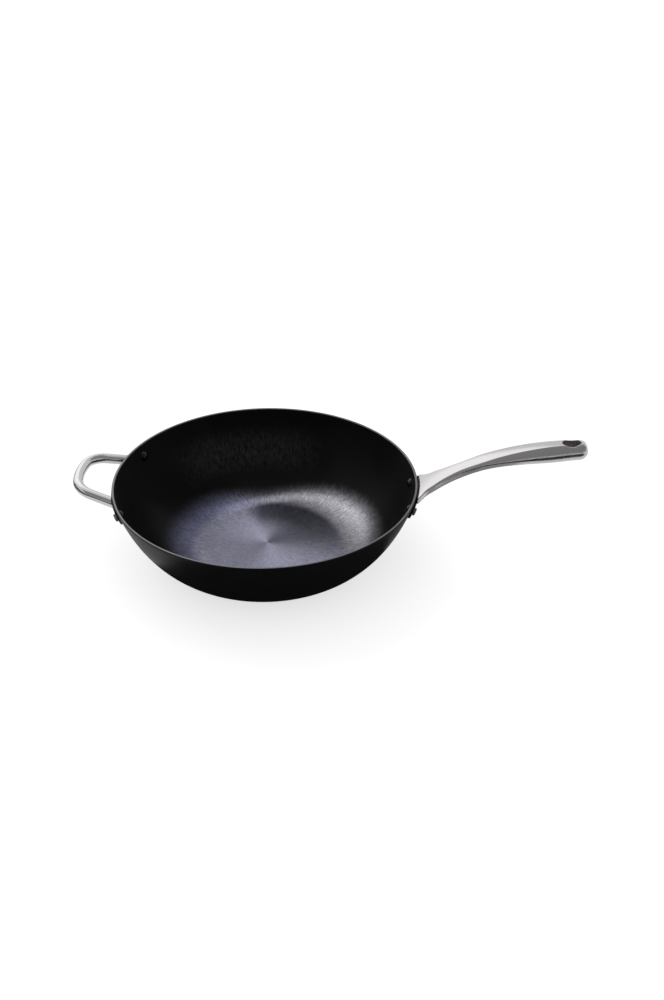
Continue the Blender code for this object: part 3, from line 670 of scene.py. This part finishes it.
def wall_colour(look):
    """The wall's seasoned black, with faint lighter streaked patches halfway up its far side."""
    cloud = look.round_noise(turns=2, per_metre=30, detail=2, roughness=0.5)
    far_side = look.facing(azimuth=106, start=0.74, end=0.98)
    above_heel = look.ramp(look.height, start=0.014, end=0.034)
    below_rim = look.ramp(look.height, start=0.045, end=0.068, before=1.0, after=0.0)
    wall_streaks = look.round_noise(turns=60, per_metre=110, detail=4, roughness=0.7)
    far_patch = look.times(look.times(far_side, above_heel), below_rim)
    far_patch = look.times(far_patch, look.ramp(wall_streaks, start=0.30, end=0.75))
    return look.mix_colours(far_patch, look.mix_colours(cloud, *WALL_IRON), FAR_PATCH_COLOUR)


def iron_inside():
    """Turned and seasoned iron: a polished grey floor, its colour scaled by painted light and
    shade, that darkens up the wall.
    """
    look = TurnedLook("turned_iron_inside")
    rays = look.round_noise(turns=52, per_metre=60, detail=4, roughness=0.65, distortion=0.5)
    grooves = look.round_noise(turns=9, per_metre=900, detail=3, roughness=0.6, distortion=0.5)
    grain = look.noise(look.coordinates, scale=800, detail=3, roughness=0.6)
    calm_rays = look.mix(look.ramp(look.radius, start=0.006, end=0.060), 0.5, rays)
    tone = look.times_plus(calm_rays, TONE_RAYS, look.times(grooves, TONE_GROOVES))
    waves = look.plus(look.times(grooves, RELIEF_GROOVES), look.times(grain, RELIEF_GRAIN))
    relief = look.plus(calm_rays, waves)
    # The side toward the long handle, where the heel gets painted light and the floor reaches
    # higher
    lit_side = look.facing(azimuth=7, start=-0.08)
    heel = look.ramp(look.radius, *HEEL_RADII)
    disc_colour, shaded_heel_colour, lit_heel_colour = (
        look.mix_colours(tone, *colours) for colours in (DISC_IRON, SHADED_HEEL_IRON, LIT_HEEL_IRON)
    )
    # The heel takes its lit colour toward this azimuth and its shaded colour elsewhere: painted
    # light and painted shade.
    lit_heel_share = look.facing(azimuth=40, start=-0.2, end=0.9)
    heel_colour = look.mix_colours(lit_heel_share, shaded_heel_colour, lit_heel_colour)
    floor_colour = look.mix_colours(heel, disc_colour, heel_colour)
    # The floor's colour is scaled by painted light and shade: the bright fans, the shade on the far
    # right, and the glints on the heel.
    floor_colour = look.scaled(floor_colour, floor_light(look, heel, lit_side))
    on_floor = floor_share(look, rays, lit_side)
    look.set(
        Base_Color=look.mix_colours(on_floor, wall_colour(look), floor_colour),
        Metallic=look.mix(on_floor, 0.04, 0.95),
        Roughness=look.mix(tone, 0.28, 0.38),
        Normal=look.bump(relief, distance=0.00016, strength=0.5),
        Specular_IOR_Level=0.07,
        Anisotropic=0.85,
        Anisotropic_Rotation=0.25,
        Tangent=look.add("ShaderNodeTangent", direction_type="RADIAL", axis="Z").outputs[0],
    )
    return look.material


def ground_rim():
    """The rim's top, ground bright and lightly worn."""
    look = Look("ground_rim")
    marks = look.noise(look.coordinates, scale=1200, detail=2, roughness=0.5)
    patches = look.noise(look.coordinates, scale=60, detail=3, roughness=0.5)
    look.set(
        Base_Color=look.mix_colours(patches, *GROUND_IRON),
        Metallic=1.0,
        Roughness=look.mix(marks, 0.26, 0.38),
        Normal=look.bump(marks, distance=0.00004, strength=0.4),
    )
    return look.material


def satin_steel(name, grain, roughness, brightness):
    """Stainless steel, its grain squeezed by a number for each axis."""
    look = Look(name)
    axes = look.xyz(look.coordinates)
    place = look.vector(*(look.times(axis, squeeze) for axis, squeeze in zip(axes, grain)))
    brushed = look.noise(place, scale=1.0, detail=3, roughness=0.6)
    patches = look.noise(look.coordinates, scale=30, detail=2, roughness=0.5)
    dark, light = (tuple(brightness * level for level in colour) for colour in SATIN_STEEL)
    look.set(
        Base_Color=look.mix_colours(look.mix(0.5, brushed, patches), dark, light),
        Metallic=1.0,
        Roughness=look.mix(brushed, roughness - SMOOTHER, roughness + ROUGHER),
        Normal=look.bump(brushed, distance=0.00002, strength=0.35),
    )
    return look.material


def shaded_hole_steel():
    """The unpolished steel inside the hanging hole, its dark colour partly painted shade."""
    look = Look("hanging_hole_steel_shaded")
    patches = look.noise(look.coordinates, scale=260, detail=3, roughness=0.6)
    look.set(
        Base_Color=look.mix_colours(patches, *SHADED_HOLE_STEEL),
        Metallic=0.6,
        Roughness=look.mix(patches, 0.45, 0.60),
        Normal=look.bump(patches, distance=0.00005, strength=0.5),
        Specular_IOR_Level=0.2,
    )
    return look.material


def coated_steel(name, dark, light, roughness, gloss):
    """The finish of the brackets, screws and nuts, a near grey between two levels."""
    look = Look(name)
    grain = look.noise(look.coordinates, scale=1400, detail=3, roughness=0.6)
    patches = look.noise(look.coordinates, scale=120, detail=3, roughness=0.5)
    dark_colour, light_colour = ((level, level, level * COAT_BLUE) for level in (dark, light))
    look.set(
        Base_Color=look.mix_colours(patches, dark_colour, light_colour),
        Metallic=0.3,
        Roughness=look.mix(patches, roughness - SMOOTHER, roughness + COAT_ROUGHER),
        Normal=look.bump(grain, distance=0.00004, strength=0.5),
        Specular_IOR_Level=gloss,
    )
    return look.material


# The bowl


def bowl_profile():
    """(radius, height, zone) from the floor's middle to the base's middle.

    The zone is that of the band from the point to the next one.
    """
    for i in range(FLOOR_RINGS):
        yield FLOOR_RADIUS * i / FLOOR_RINGS, BASE_THICKNESS, INSIDE
    inner_start = curve_at_depth(inner_wall, LIP_INNER_ROUND)
    for i in range(WALL_STEPS + 1):
        zone = INSIDE if i < WALL_STEPS else RIM
        yield *inner_wall(1 + (inner_start - 1) * i / WALL_STEPS), zone
    inner_corner = (inner_wall(0)[0], BOWL_HEIGHT)
    inner_edge = (inner_corner[0] + LIP_INNER_ROUND, BOWL_HEIGHT)
    for i in range(1, LIP_STEPS + 1):
        yield *eased_corner(inner_wall(inner_start), inner_corner, inner_edge, i / LIP_STEPS), RIM
    outer_start = curve_at_depth(outer_wall, LIP_OUTER_ROUND)
    wall_top = outer_wall(outer_start)
    outer_edge = (RIM_RADIUS - LIP_OUTER_ROUND, BOWL_HEIGHT)
    outer_corner = (wall_top[0] + LIP_BULGE * (RIM_RADIUS - wall_top[0]), BOWL_HEIGHT)
    for i in range(LIP_STEPS + 1):
        zone = RIM if i == 0 else OUTSIDE
        yield *eased_corner(outer_edge, outer_corner, wall_top, i / LIP_STEPS), zone
    for i in range(1, WALL_STEPS + 1):
        yield *outer_wall(outer_start + (1 - outer_start) * i / WALL_STEPS), OUTSIDE
    for i in range(BASE_RINGS - 1, -1, -1):
        yield BASE_RADIUS * i / BASE_RINGS, 0.0, OUTSIDE


def make_bowl():
    rows = list(bowl_profile())
    profile = [(radius, height) for radius, height, _ in rows]
    zones = [zone for _, _, zone in rows]
    materials = (iron_inside(), ground_rim(), iron_outside())
    bowl = turned("wok_bowl", profile, BOWL_STEPS, materials, zones)
    diameter = SHANK_DIAMETER + 2 * HOLE_CLEARANCE
    for angle in (*LONG_SCREWS, *HELPER_SCREWS):
        cut(bowl, cylinder(diameter, THROUGH_REACH, -THROUGH_REACH, screw_frame(angle)))
    shade(bowl, SHARP_ANGLE)
    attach(bowl, BODY)
    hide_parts("wok_body")


# Long handle


def top_line(out):
    """Height above the rim of the long handle's top band, this far beyond the rim."""
    start = (TOP_LINE_START, TOP_LINE_START_RISE)
    end = (HANDLE_REACH, TOP_LINE_END_RISE)
    start_handle = (
        start[0] + TOP_LINE_START_PULL * math.cos(TOP_LINE_START_SLOPE),
        start[1] + TOP_LINE_START_PULL * math.sin(TOP_LINE_START_SLOPE),
    )
    end_handle = (
        end[0] - TOP_LINE_END_PULL * math.cos(TOP_LINE_END_SLOPE),
        end[1] - TOP_LINE_END_PULL * math.sin(TOP_LINE_END_SLOPE),
    )
    if out <= start[0]:
        return start[1] + (out - start[0]) * math.tan(TOP_LINE_START_SLOPE)

    def curve(t):
        return bezier(start, start_handle, end_handle, end, t)

    return curve(last_share(lambda t: curve(t)[0] < out))[1]


def section_at(out):
    """The handle's section at any distance, smoothly between the listed ones."""
    place = out / HANDLE_REACH
    last = len(SECTIONS) - 1
    k = 0
    while k < last - 1 and SECTIONS[k + 1].place < place:
        k += 1
    before, first, second, after = (SECTIONS[max(0, min(last, i))] for i in range(k - 1, k + 3))
    span = second.place - first.place
    t = min(1.0, max(0.0, (place - first.place) / span))
    weight_a = 2 * t**3 - 3 * t**2 + 1
    slope_weight_a = t**3 - 2 * t**2 + t
    weight_b = 3 * t**2 - 2 * t**3
    slope_weight_b = t**3 - t**2
    values = [place]
    for field in Section._fields[1:]:
        a, b = getattr(first, field), getattr(second, field)
        slope_a = slope_b = (b - a) / span
        if before is not first:
            slope_a = (b - getattr(before, field)) / (second.place - before.place)
        if after is not second:
            slope_b = (getattr(after, field) - a) / (after.place - first.place)
        value = (
            weight_a * a + slope_weight_a * span * slope_a
            + weight_b * b + slope_weight_b * span * slope_b
        )
        values.append(max(0.0, value))
    return Section(*values)


def half_section(section):
    """Right half of the handle's cross-section, top to bottom, with the creases eased."""
    normal = math.pi / 2 - FACET_SLOPE
    facet_drop = section.facet * math.tan(FACET_SLOPE)
    for i in range(CROWN_STEPS):
        share = i / CROWN_STEPS
        yield section.band * share, TOP_CROWN * (1 - share**2)
    yield section.band - CREASE_EASE, 0.0
    for share in FACET_SHARES:
        yield section.band + section.facet * share, -facet_drop * share
    centre = (
        section.band + section.facet - section.side * math.cos(normal),
        -facet_drop - section.side * math.sin(normal),
    )
    yield from arc(centre, section.side, normal, 0.0, SIDE_STEPS)
    across = centre[0] + section.side
    down = centre[1] - section.upright
    flat_half = across - section.edge
    edge_centre = (flat_half, down)
    yield from arc(edge_centre, section.edge, LOWER_EDGE_START, -math.pi / 2, LOWER_EDGE_STEPS)
    for i in range(BELLY_STEPS - 1, -1, -1):
        share = i / BELLY_STEPS
        yield flat_half * share, down - section.edge - section.belly * (1 - share**2)


def handle_ring(out, shrink=0.0):
    """The cross-section in the upright plane this far beyond the rim, drawn in by shrink."""
    half = list(half_section(section_at(out)))
    middle = half[-1][1] / 2
    widest = max(across for across, _ in half)
    squeeze = max(SMALLEST_SQUEEZE, 1 - shrink / widest)
    depth_squeeze = max(SMALLEST_SQUEEZE, 1 - shrink / abs(middle))
    points = [(across * squeeze, middle + (up - middle) * depth_squeeze) for across, up in half]
    mirrored = [(-across, up) for across, up in points[-2:0:-1]]
    x = RIM_RADIUS + out
    z = BOWL_HEIGHT + top_line(out)
    return [(x, across, z + up) for across, up in points + mirrored]


def handle_rings():
    """Sections evenly along the handle, then closer ones that round its tip."""
    straight_end = HANDLE_REACH - TIP_ROUND
    count = round((straight_end + ROOT_OVERRUN) / HANDLE_STATION)
    for i in range(count + 1):
        yield handle_ring(-ROOT_OVERRUN + (straight_end + ROOT_OVERRUN) * i / count)
    for i in range(1, TIP_STEPS + 1):
        angle = math.pi / 2 * i / TIP_STEPS
        out = straight_end + TIP_ROUND * math.sin(angle)
        yield handle_ring(out, TIP_SHRINK * TIP_ROUND * (1 - math.cos(angle)))


def surface_height(out, across):
    """Height above the rim of the handle's upper surface at a point near its middle."""
    section = section_at(out)
    beyond = abs(across) - section.band
    if beyond <= 0:
        return top_line(out) + TOP_CROWN * (1 - (across / section.band) ** 2)
    return top_line(out) - beyond * math.tan(FACET_SLOPE)


def hole_ring(growth, drop):
    """An oval round the hanging hole, this far below the handle's surface."""
    ring = []
    for i in range(HOLE_STEPS):
        angle = 2 * math.pi * i / HOLE_STEPS
        out = HOLE_OUT + (HOLE_LENGTH / 2 + growth) * math.cos(angle)
        across = (HOLE_WIDTH / 2 + growth) * math.sin(angle)
        ring.append((RIM_RADIUS + out, across, BOWL_HEIGHT + surface_height(out, across) - drop))
    return ring


def hanging_hole():
    """The oval hole with a rounded lip that follows the crowned top."""
    rings = [hole_ring(0.0, THROUGH_REACH), hole_ring(0.0, HOLE_LIP)]
    for i in range(1, HOLE_LIP_STEPS + 1):
        angle = math.pi / 2 * i / HOLE_LIP_STEPS
        rings.append(hole_ring(HOLE_LIP * (1 - math.cos(angle)), HOLE_LIP * (1 - math.sin(angle))))
    rings.append(hole_ring(HOLE_LIP + HOLE_LIP_FLARE, -HOLE_LIP_FLARE))
    rings.append(hole_ring(HOLE_LIP + HOLE_LIP_FLARE, -CUT_MARGIN))
    return lofted("hanging_hole", rings)


def root_screw_frame(offset):
    """Z points into the long handle's root, from the head's flat in the back of the bracket."""
    head_flat = plate_inner(ROOT_SCREW_DEPTH_BELOW_RIM) + ROOT_SCREW_SINK
    axes = (Vector((0, 0, -1)), Vector((0, 1, 0)), Vector((1, 0, 0)))
    place = Matrix(axes).transposed().to_4x4()
    out = math.sqrt(head_flat**2 - offset**2)
    place.translation = (out, offset, BOWL_HEIGHT - ROOT_SCREW_DEPTH_BELOW_RIM)
    return place


def make_long_handle():
    steel = satin_steel("brushed_steel_handle", BRUSHED_GRAIN, roughness=0.21, brightness=1.07)
    handle = lofted("steel_long_handle", list(handle_rings()), (steel, shaded_hole_steel()))
    saddle_radius = RIM_RADIUS + PAD_PROUD + SEAT_GAP
    top = BOWL_HEIGHT + TOP_LINE_END_RISE
    saddle = ((0, top), (saddle_radius, top), (saddle_radius, 0), (0, 0))
    cut(handle, turned("saddle", saddle, RING_STEPS))
    cut(handle, hanging_hole())
    hole_diameter = ROOT_SCREW_SHANK + 2 * SEAT_GAP
    hole_end = ROOT_SCREW_LENGTH + ROOT_SCREW_END_GAP
    for offset in (-ROOT_SCREW_SPACING / 2, ROOT_SCREW_SPACING / 2):
        cut(handle, cylinder(hole_diameter, hole_end, -SMALL_MARGIN, root_screw_frame(offset)))
    for face in handle.data.polygons:
        along = (face.center.x - RIM_RADIUS - HOLE_OUT) / (HOLE_LENGTH / 2)
        across = face.center.y / (HOLE_WIDTH / 2)
        in_hole = along**2 + across**2 < HOLE_WALL_LIMIT
        face.material_index = HOLE_WALL if in_hole else POLISHED
    shade(handle, HANDLE_SHARP_ANGLE)
    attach(handle, BODY)
    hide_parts("long_handle")


# Helper handle


def loop_plane_point(reach, across):
    """A point of the loop's tilted plane, reach being the distance from the bowl's axis."""
    rise = (reach - RIM_RADIUS) * math.tan(LOOP_LIFT)
    return Vector((-reach, across, BOWL_HEIGHT - LEG_DEPTH_BELOW_RIM + rise))


def loop_half_path():
    """Half of the loop's centreline: (reach, across), from the bowl's side to the middle."""
    leg_start = Vector((RIM_RADIUS - LEG_OVERRUN, LEG_HALF_SPREAD))
    corner = Vector((RIM_RADIUS + SHOULDER_REACH - FACET_ALLOWANCE, SHOULDER_HALF_WIDTH))
    leg = (leg_start - corner).normalized()
    bar = Vector((math.sin(FAR_BAR_BOW), -math.cos(FAR_BAR_BOW)))
    half_angle = leg.angle(bar) / 2
    centre = corner + (leg + bar).normalized() * SHOULDER_ROUND / math.sin(half_angle)
    leg_tangent = corner + leg * SHOULDER_ROUND / math.tan(half_angle)
    bar_tangent = corner + bar * SHOULDER_ROUND / math.tan(half_angle)
    start = math.atan2(leg_tangent.y - centre.y, leg_tangent.x - centre.x)
    yield tuple(leg_start)
    yield from arc(centre, SHOULDER_ROUND, start, FAR_BAR_BOW, SHOULDER_STEPS)
    bow_radius = bar_tangent.y / math.sin(FAR_BAR_BOW)
    bow_centre = (bar_tangent.x - bow_radius * math.cos(FAR_BAR_BOW), 0)
    yield from arc(bow_centre, bow_radius, BOW_FROM * FAR_BAR_BOW, BOW_TO * FAR_BAR_BOW, BOW_STEPS)


def leg_centre(side):
    """Where a leg's centreline meets the strap's outer face."""
    target = plate_outer(STRAP_PLATE, LEG_DEPTH_BELOW_RIM) + SEAT_GAP
    first, second = (Vector(point) for point in list(loop_half_path())[:2])
    share = last_share(lambda t: first.lerp(second, t).length < target)
    reach, across = first.lerp(second, share)
    return loop_plane_point(reach, side * across)


def bar_rings(path):
    """Round sections square to the path, all turned the same way in the loop's plane."""
    plane_normal = (path[1] - path[0]).cross(path[-1] - path[0]).normalized()
    for i, point in enumerate(path):
        before, after = path[max(0, i - 1)], path[min(len(path) - 1, i + 1)]
        forward = (after - before).normalized()
        side = forward.cross(plane_normal).normalized()
        ring = []
        for k in range(ROUND_STEPS):
            angle = 2 * math.pi * k / ROUND_STEPS
            spoke = side * math.cos(angle) + plane_normal * math.sin(angle)
            ring.append(point + spoke * BAR_DIAMETER / 2)
        yield ring


def loop_clearance_profile():
    """Everything nearer the bowl than the helper handle may reach, as a turned plug."""
    bottom = STRAP_TOP + STRAP_HEIGHT + CUT_MARGIN
    top = BOWL_HEIGHT + 2 * CUT_MARGIN
    strap_face = plate_outer(STRAP_PLATE, STRAP_TOP) + SEAT_GAP
    yield 0.0, top
    yield max(RIM_RADIUS + LEG_RIM_CLEARANCE, strap_face), top
    for i in range(PLUG_STEPS + 1):
        depth = STRAP_TOP + (bottom - STRAP_TOP) * i / PLUG_STEPS
        yield plate_outer(STRAP_PLATE, depth) + SEAT_GAP, BOWL_HEIGHT - depth
    yield 0.0, BOWL_HEIGHT - bottom


def make_helper_handle():
    """A bent round bar, cut to the strap at both legs, with a spigot at each end."""
    half = list(loop_half_path())
    path = [loop_plane_point(reach, across) for reach, across in half]
    path += [loop_plane_point(reach, -across) for reach, across in reversed(half)]
    # The helper's steel is lighter than the long handle's so that its highlights come out brighter:
    # painted light.
    steel = satin_steel("satin_steel_helper", EVEN_GRAIN, roughness=0.22, brightness=1.16)
    loop = lofted("steel_helper_handle", list(bar_rings(path)), (steel,))
    cut(loop, turned("loop_clearance", list(loop_clearance_profile()), RING_STEPS))
    spigot_end = SEAT_GAP + STRAP_PLATE + SMALL_MARGIN
    for side in (-1, 1):
        centre = leg_centre(side)
        place = screw_frame(math.atan2(centre.y, centre.x), LEG_DEPTH_BELOW_RIM + SPIGOT_DROP)
        boolean(loop, cylinder(SPIGOT_DIAMETER, spigot_end, SEAT_GAP, place), "UNION")
    shade(loop, SHARP_ANGLE)
    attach(loop, BODY)
    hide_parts("helper_handle")


# Brackets, screws and nuts, which show the solids themselves


def dress_cad_nodes():
    bracket = coated_steel("bracket_black", dark=0.006, light=0.011, roughness=0.46, gloss=0.22)
    nut = coated_steel("nut_dark_steel", dark=0.13, light=0.23, roughness=0.34, gloss=0.5)
    screw = coated_steel("screw_black", dark=0.0015, light=0.003, roughness=0.15, gloss=0.35)
    zinc = coated_steel("hidden_screw_zinc", dark=0.40, light=0.50, roughness=0.35, gloss=0.5)
    for name, node in NODES.items():
        if node.hide_render:
            continue
        if "bracket" in name:
            material, slot = bracket, "black_bracket"
        elif "root_screw" in name:
            material, slot = zinc, "hidden_screw_steel"
        elif "nut" in name:
            material, slot = nut, "black_screw"
        else:
            material, slot = screw, "black_screw"
        node.data.materials.clear()
        node.data.materials.append(material)


# Studio

# Brightness of the world as a lamp, the floor's look, and how far it lies below the base
WHITE = (1, 1, 1, 1)
AMBIENT = 0.42
FLOOR_COLOUR = (0.86, 0.86, 0.86, 1)
FLOOR_ROUGHNESS = 0.9
FLOOR_GLOW = 0.68
FLOOR_DROP = 0.0002

# Where the cards and the lamp point: near the bowl's middle, and at the middle of its base
CARD_TARGET = Vector((0.03, 0, 0.06))
LAMP_TARGET = Vector((0, 0, 0))


def background_ray(nodes, links):
    """1 for rays that should meet the white background: camera, glossy and transmitted ones."""
    path = nodes.new("ShaderNodeLightPath")
    share = path.outputs["Is Camera Ray"]
    for kind in ("Is Glossy Ray", "Is Transmission Ray"):
        either = nodes.new("ShaderNodeMath")
        either.operation = "MAXIMUM"
        links.new(share, either.inputs[0])
        links.new(path.outputs[kind], either.inputs[1])
        share = either.outputs[0]
    return share


def make_world():
    """White to background rays, and dimmer to the rays that light the object."""
    world = bpy.data.worlds.new("studio")
    bpy.context.scene.world = world
    world.use_nodes = True
    nodes, links = world.node_tree.nodes, world.node_tree.links
    background = nodes["Background"]
    background.inputs["Color"].default_value = WHITE
    level = nodes.new("ShaderNodeMapRange")
    links.new(background_ray(nodes, links), level.inputs["Value"])
    level.inputs["To Min"].default_value = AMBIENT
    level.inputs["To Max"].default_value = 1.0
    links.new(level.outputs[0], background.inputs["Strength"])


def rectangle(left, right, near, far):
    return (left, near), (right, near), (right, far), (left, far)


def sheet(name, corners, material):
    """A flat object of one face."""

    def build(shape):
        shape.faces.new([shape.verts.new(corner) for corner in corners])

    return mesh_object(name, build, (material,))


def make_floor():
    """A matt floor that glows up to the background's white where background rays meet it."""
    material = bpy.data.materials.new("studio_floor")
    material.use_nodes = True
    nodes, links = material.node_tree.nodes, material.node_tree.links
    shader = nodes["Principled BSDF"]
    shader.inputs["Base Color"].default_value = FLOOR_COLOUR
    shader.inputs["Roughness"].default_value = FLOOR_ROUGHNESS
    shader.inputs["Specular IOR Level"].default_value = 0.0
    shader.inputs["Emission Color"].default_value = WHITE
    glow = nodes.new("ShaderNodeMath")
    glow.operation = "MULTIPLY"
    links.new(background_ray(nodes, links), glow.inputs[0])
    glow.inputs[1].default_value = FLOOR_GLOW
    links.new(glow.outputs[0], shader.inputs["Emission Strength"])
    corners = [(x, y, -FLOOR_DROP) for x, y in rectangle(left=-6, right=6, near=-6, far=9)]
    floor = sheet("studio_floor", corners, material)


def make_reflection(name, corners, level, place):
    """A sheet of even brightness that only reflections see."""
    material = bpy.data.materials.new(name)
    material.use_nodes = True
    nodes, links = material.node_tree.nodes, material.node_tree.links
    nodes.remove(nodes["Principled BSDF"])
    emission = nodes.new("ShaderNodeEmission")
    emission.inputs["Color"].default_value = WHITE
    emission.inputs["Strength"].default_value = level
    links.new(emission.outputs[0], nodes["Material Output"].inputs["Surface"])
    card = sheet(name, corners, material)
    card.matrix_world = place
    card.visible_camera = False
    card.visible_diffuse = False
    card.visible_shadow = False
    card.visible_transmission = False


def turned_toward(target, centre, axis):
    """The place at centre whose given axis points at the target."""
    toward = target - Vector(centre)
    return Matrix.Translation(centre) @ toward.to_track_quat(axis, "Y").to_matrix().to_4x4()


def make_card(name, centre, width, height, level):
    """A reflected card that stands square to the object."""
    outline = rectangle(-width / 2, width / 2, -height / 2, height / 2)
    corners = [(x, y, 0) for x, y in outline]
    make_reflection(name, corners, level, turned_toward(CARD_TARGET, centre, "Z"))


def make_floor_flag(name, outline, height, level):
    """A reflected dark sheet that lies flat at this height."""
    make_reflection(name, [(x, y, height) for x, y in outline], level, Matrix())


def make_softbox(name, centre, width, height, level):
    """An area lamp whose face has the given brightness."""
    light = bpy.data.lights.new(name, "AREA")
    light.shape = "RECTANGLE"
    light.size = width
    light.size_y = height
    light.energy = level * math.pi * width * height
    lamp = bpy.data.objects.new(name, light)
    bpy.context.scene.collection.objects.link(lamp)
    lamp.matrix_world = turned_toward(LAMP_TARGET, centre, "-Z")


def make_studio():
    make_world()
    make_floor()
    make_card("front_high_card", centre=(0.1, -2.0, 2.6), width=7.0, height=3.4, level=0.32)
    make_card("right_high_card", centre=(2.3, 0.3, 2.4), width=4.5, height=3.6, level=0.34)
    under = rectangle(left=-0.12, right=0.20, near=-0.6, far=-0.02)
    root = rectangle(left=0.16, right=0.27, near=-0.40, far=0.30)
    near = rectangle(left=-2.8, right=2.8, near=-2.8, far=-0.46)
    left = rectangle(left=-2.8, right=-0.48, near=-0.46, far=1.2)
    # A dark sheet by the bowl's base that only reflections see: a painted shadow of the bowl on the
    # floor
    make_floor_flag("under_shadow_flag", under, height=0.0008, level=0.02)
    # A grey sheet under the long handle's root that only reflections see: painted shade beneath the
    # root
    make_floor_flag("root_shade_flag", root, height=0.0006, level=0.42)
    make_floor_flag("near_flag", near, height=0.0006, level=0.03)
    make_floor_flag("left_flag", left, height=0.0006, level=0.03)
    make_card("front_low_flag", centre=(0.1, -2.8, 0.42), width=7.0, height=0.84, level=0.02)
    make_card("left_low_flag", centre=(-2.8, -0.6, 0.42), width=4.4, height=0.84, level=0.02)
    make_softbox("far_left_softbox", centre=(-1.57, 2.01, 1.93), width=2.9, height=3.0, level=0.7)


# Camera

# The photograph's own, found from the rim's ellipse, the base, the handle and the screws, with the
# rim's centre as origin and the object turned by its yaw
CAMERA_FOCAL_PIXELS = 1251.15
CAMERA_PITCH = 0.5662
CAMERA_ROLL = 0.0057
CAMERA_PLACE = Vector((0.07039, -1.12451, 0.69025))
OBJECT_YAW = math.radians(-3.8)
IMAGE_HEIGHT = 1000
SENSOR_SIZE = 36.0


def make_camera():
    forward = Vector((0, math.cos(CAMERA_PITCH), -math.sin(CAMERA_PITCH)))
    level_right = Vector((1, 0, 0))
    level_up = level_right.cross(forward)
    right = level_right * math.cos(CAMERA_ROLL) + level_up * math.sin(CAMERA_ROLL)
    up = level_up * math.cos(CAMERA_ROLL) - level_right * math.sin(CAMERA_ROLL)
    place = Matrix((right, up, -forward)).transposed().to_4x4()
    place.translation = CAMERA_PLACE
    data = bpy.data.cameras.new("photo_camera")
    data.sensor_width = SENSOR_SIZE
    data.lens = SENSOR_SIZE * CAMERA_FOCAL_PIXELS / IMAGE_HEIGHT
    camera = bpy.data.objects.new("photo_camera", data)
    bpy.context.scene.collection.objects.link(camera)
    unturn = Matrix.Rotation(-OBJECT_YAW, 4, "Z")
    camera.matrix_world = Matrix.Translation((0, 0, BOWL_HEIGHT)) @ unturn @ place
    bpy.context.scene.camera = camera


def main():
    make_bowl()
    make_long_handle()
    make_helper_handle()
    dress_cad_nodes()
    make_studio()
    make_camera()
    bpy.context.scene.view_settings.view_transform = "Standard"


main()
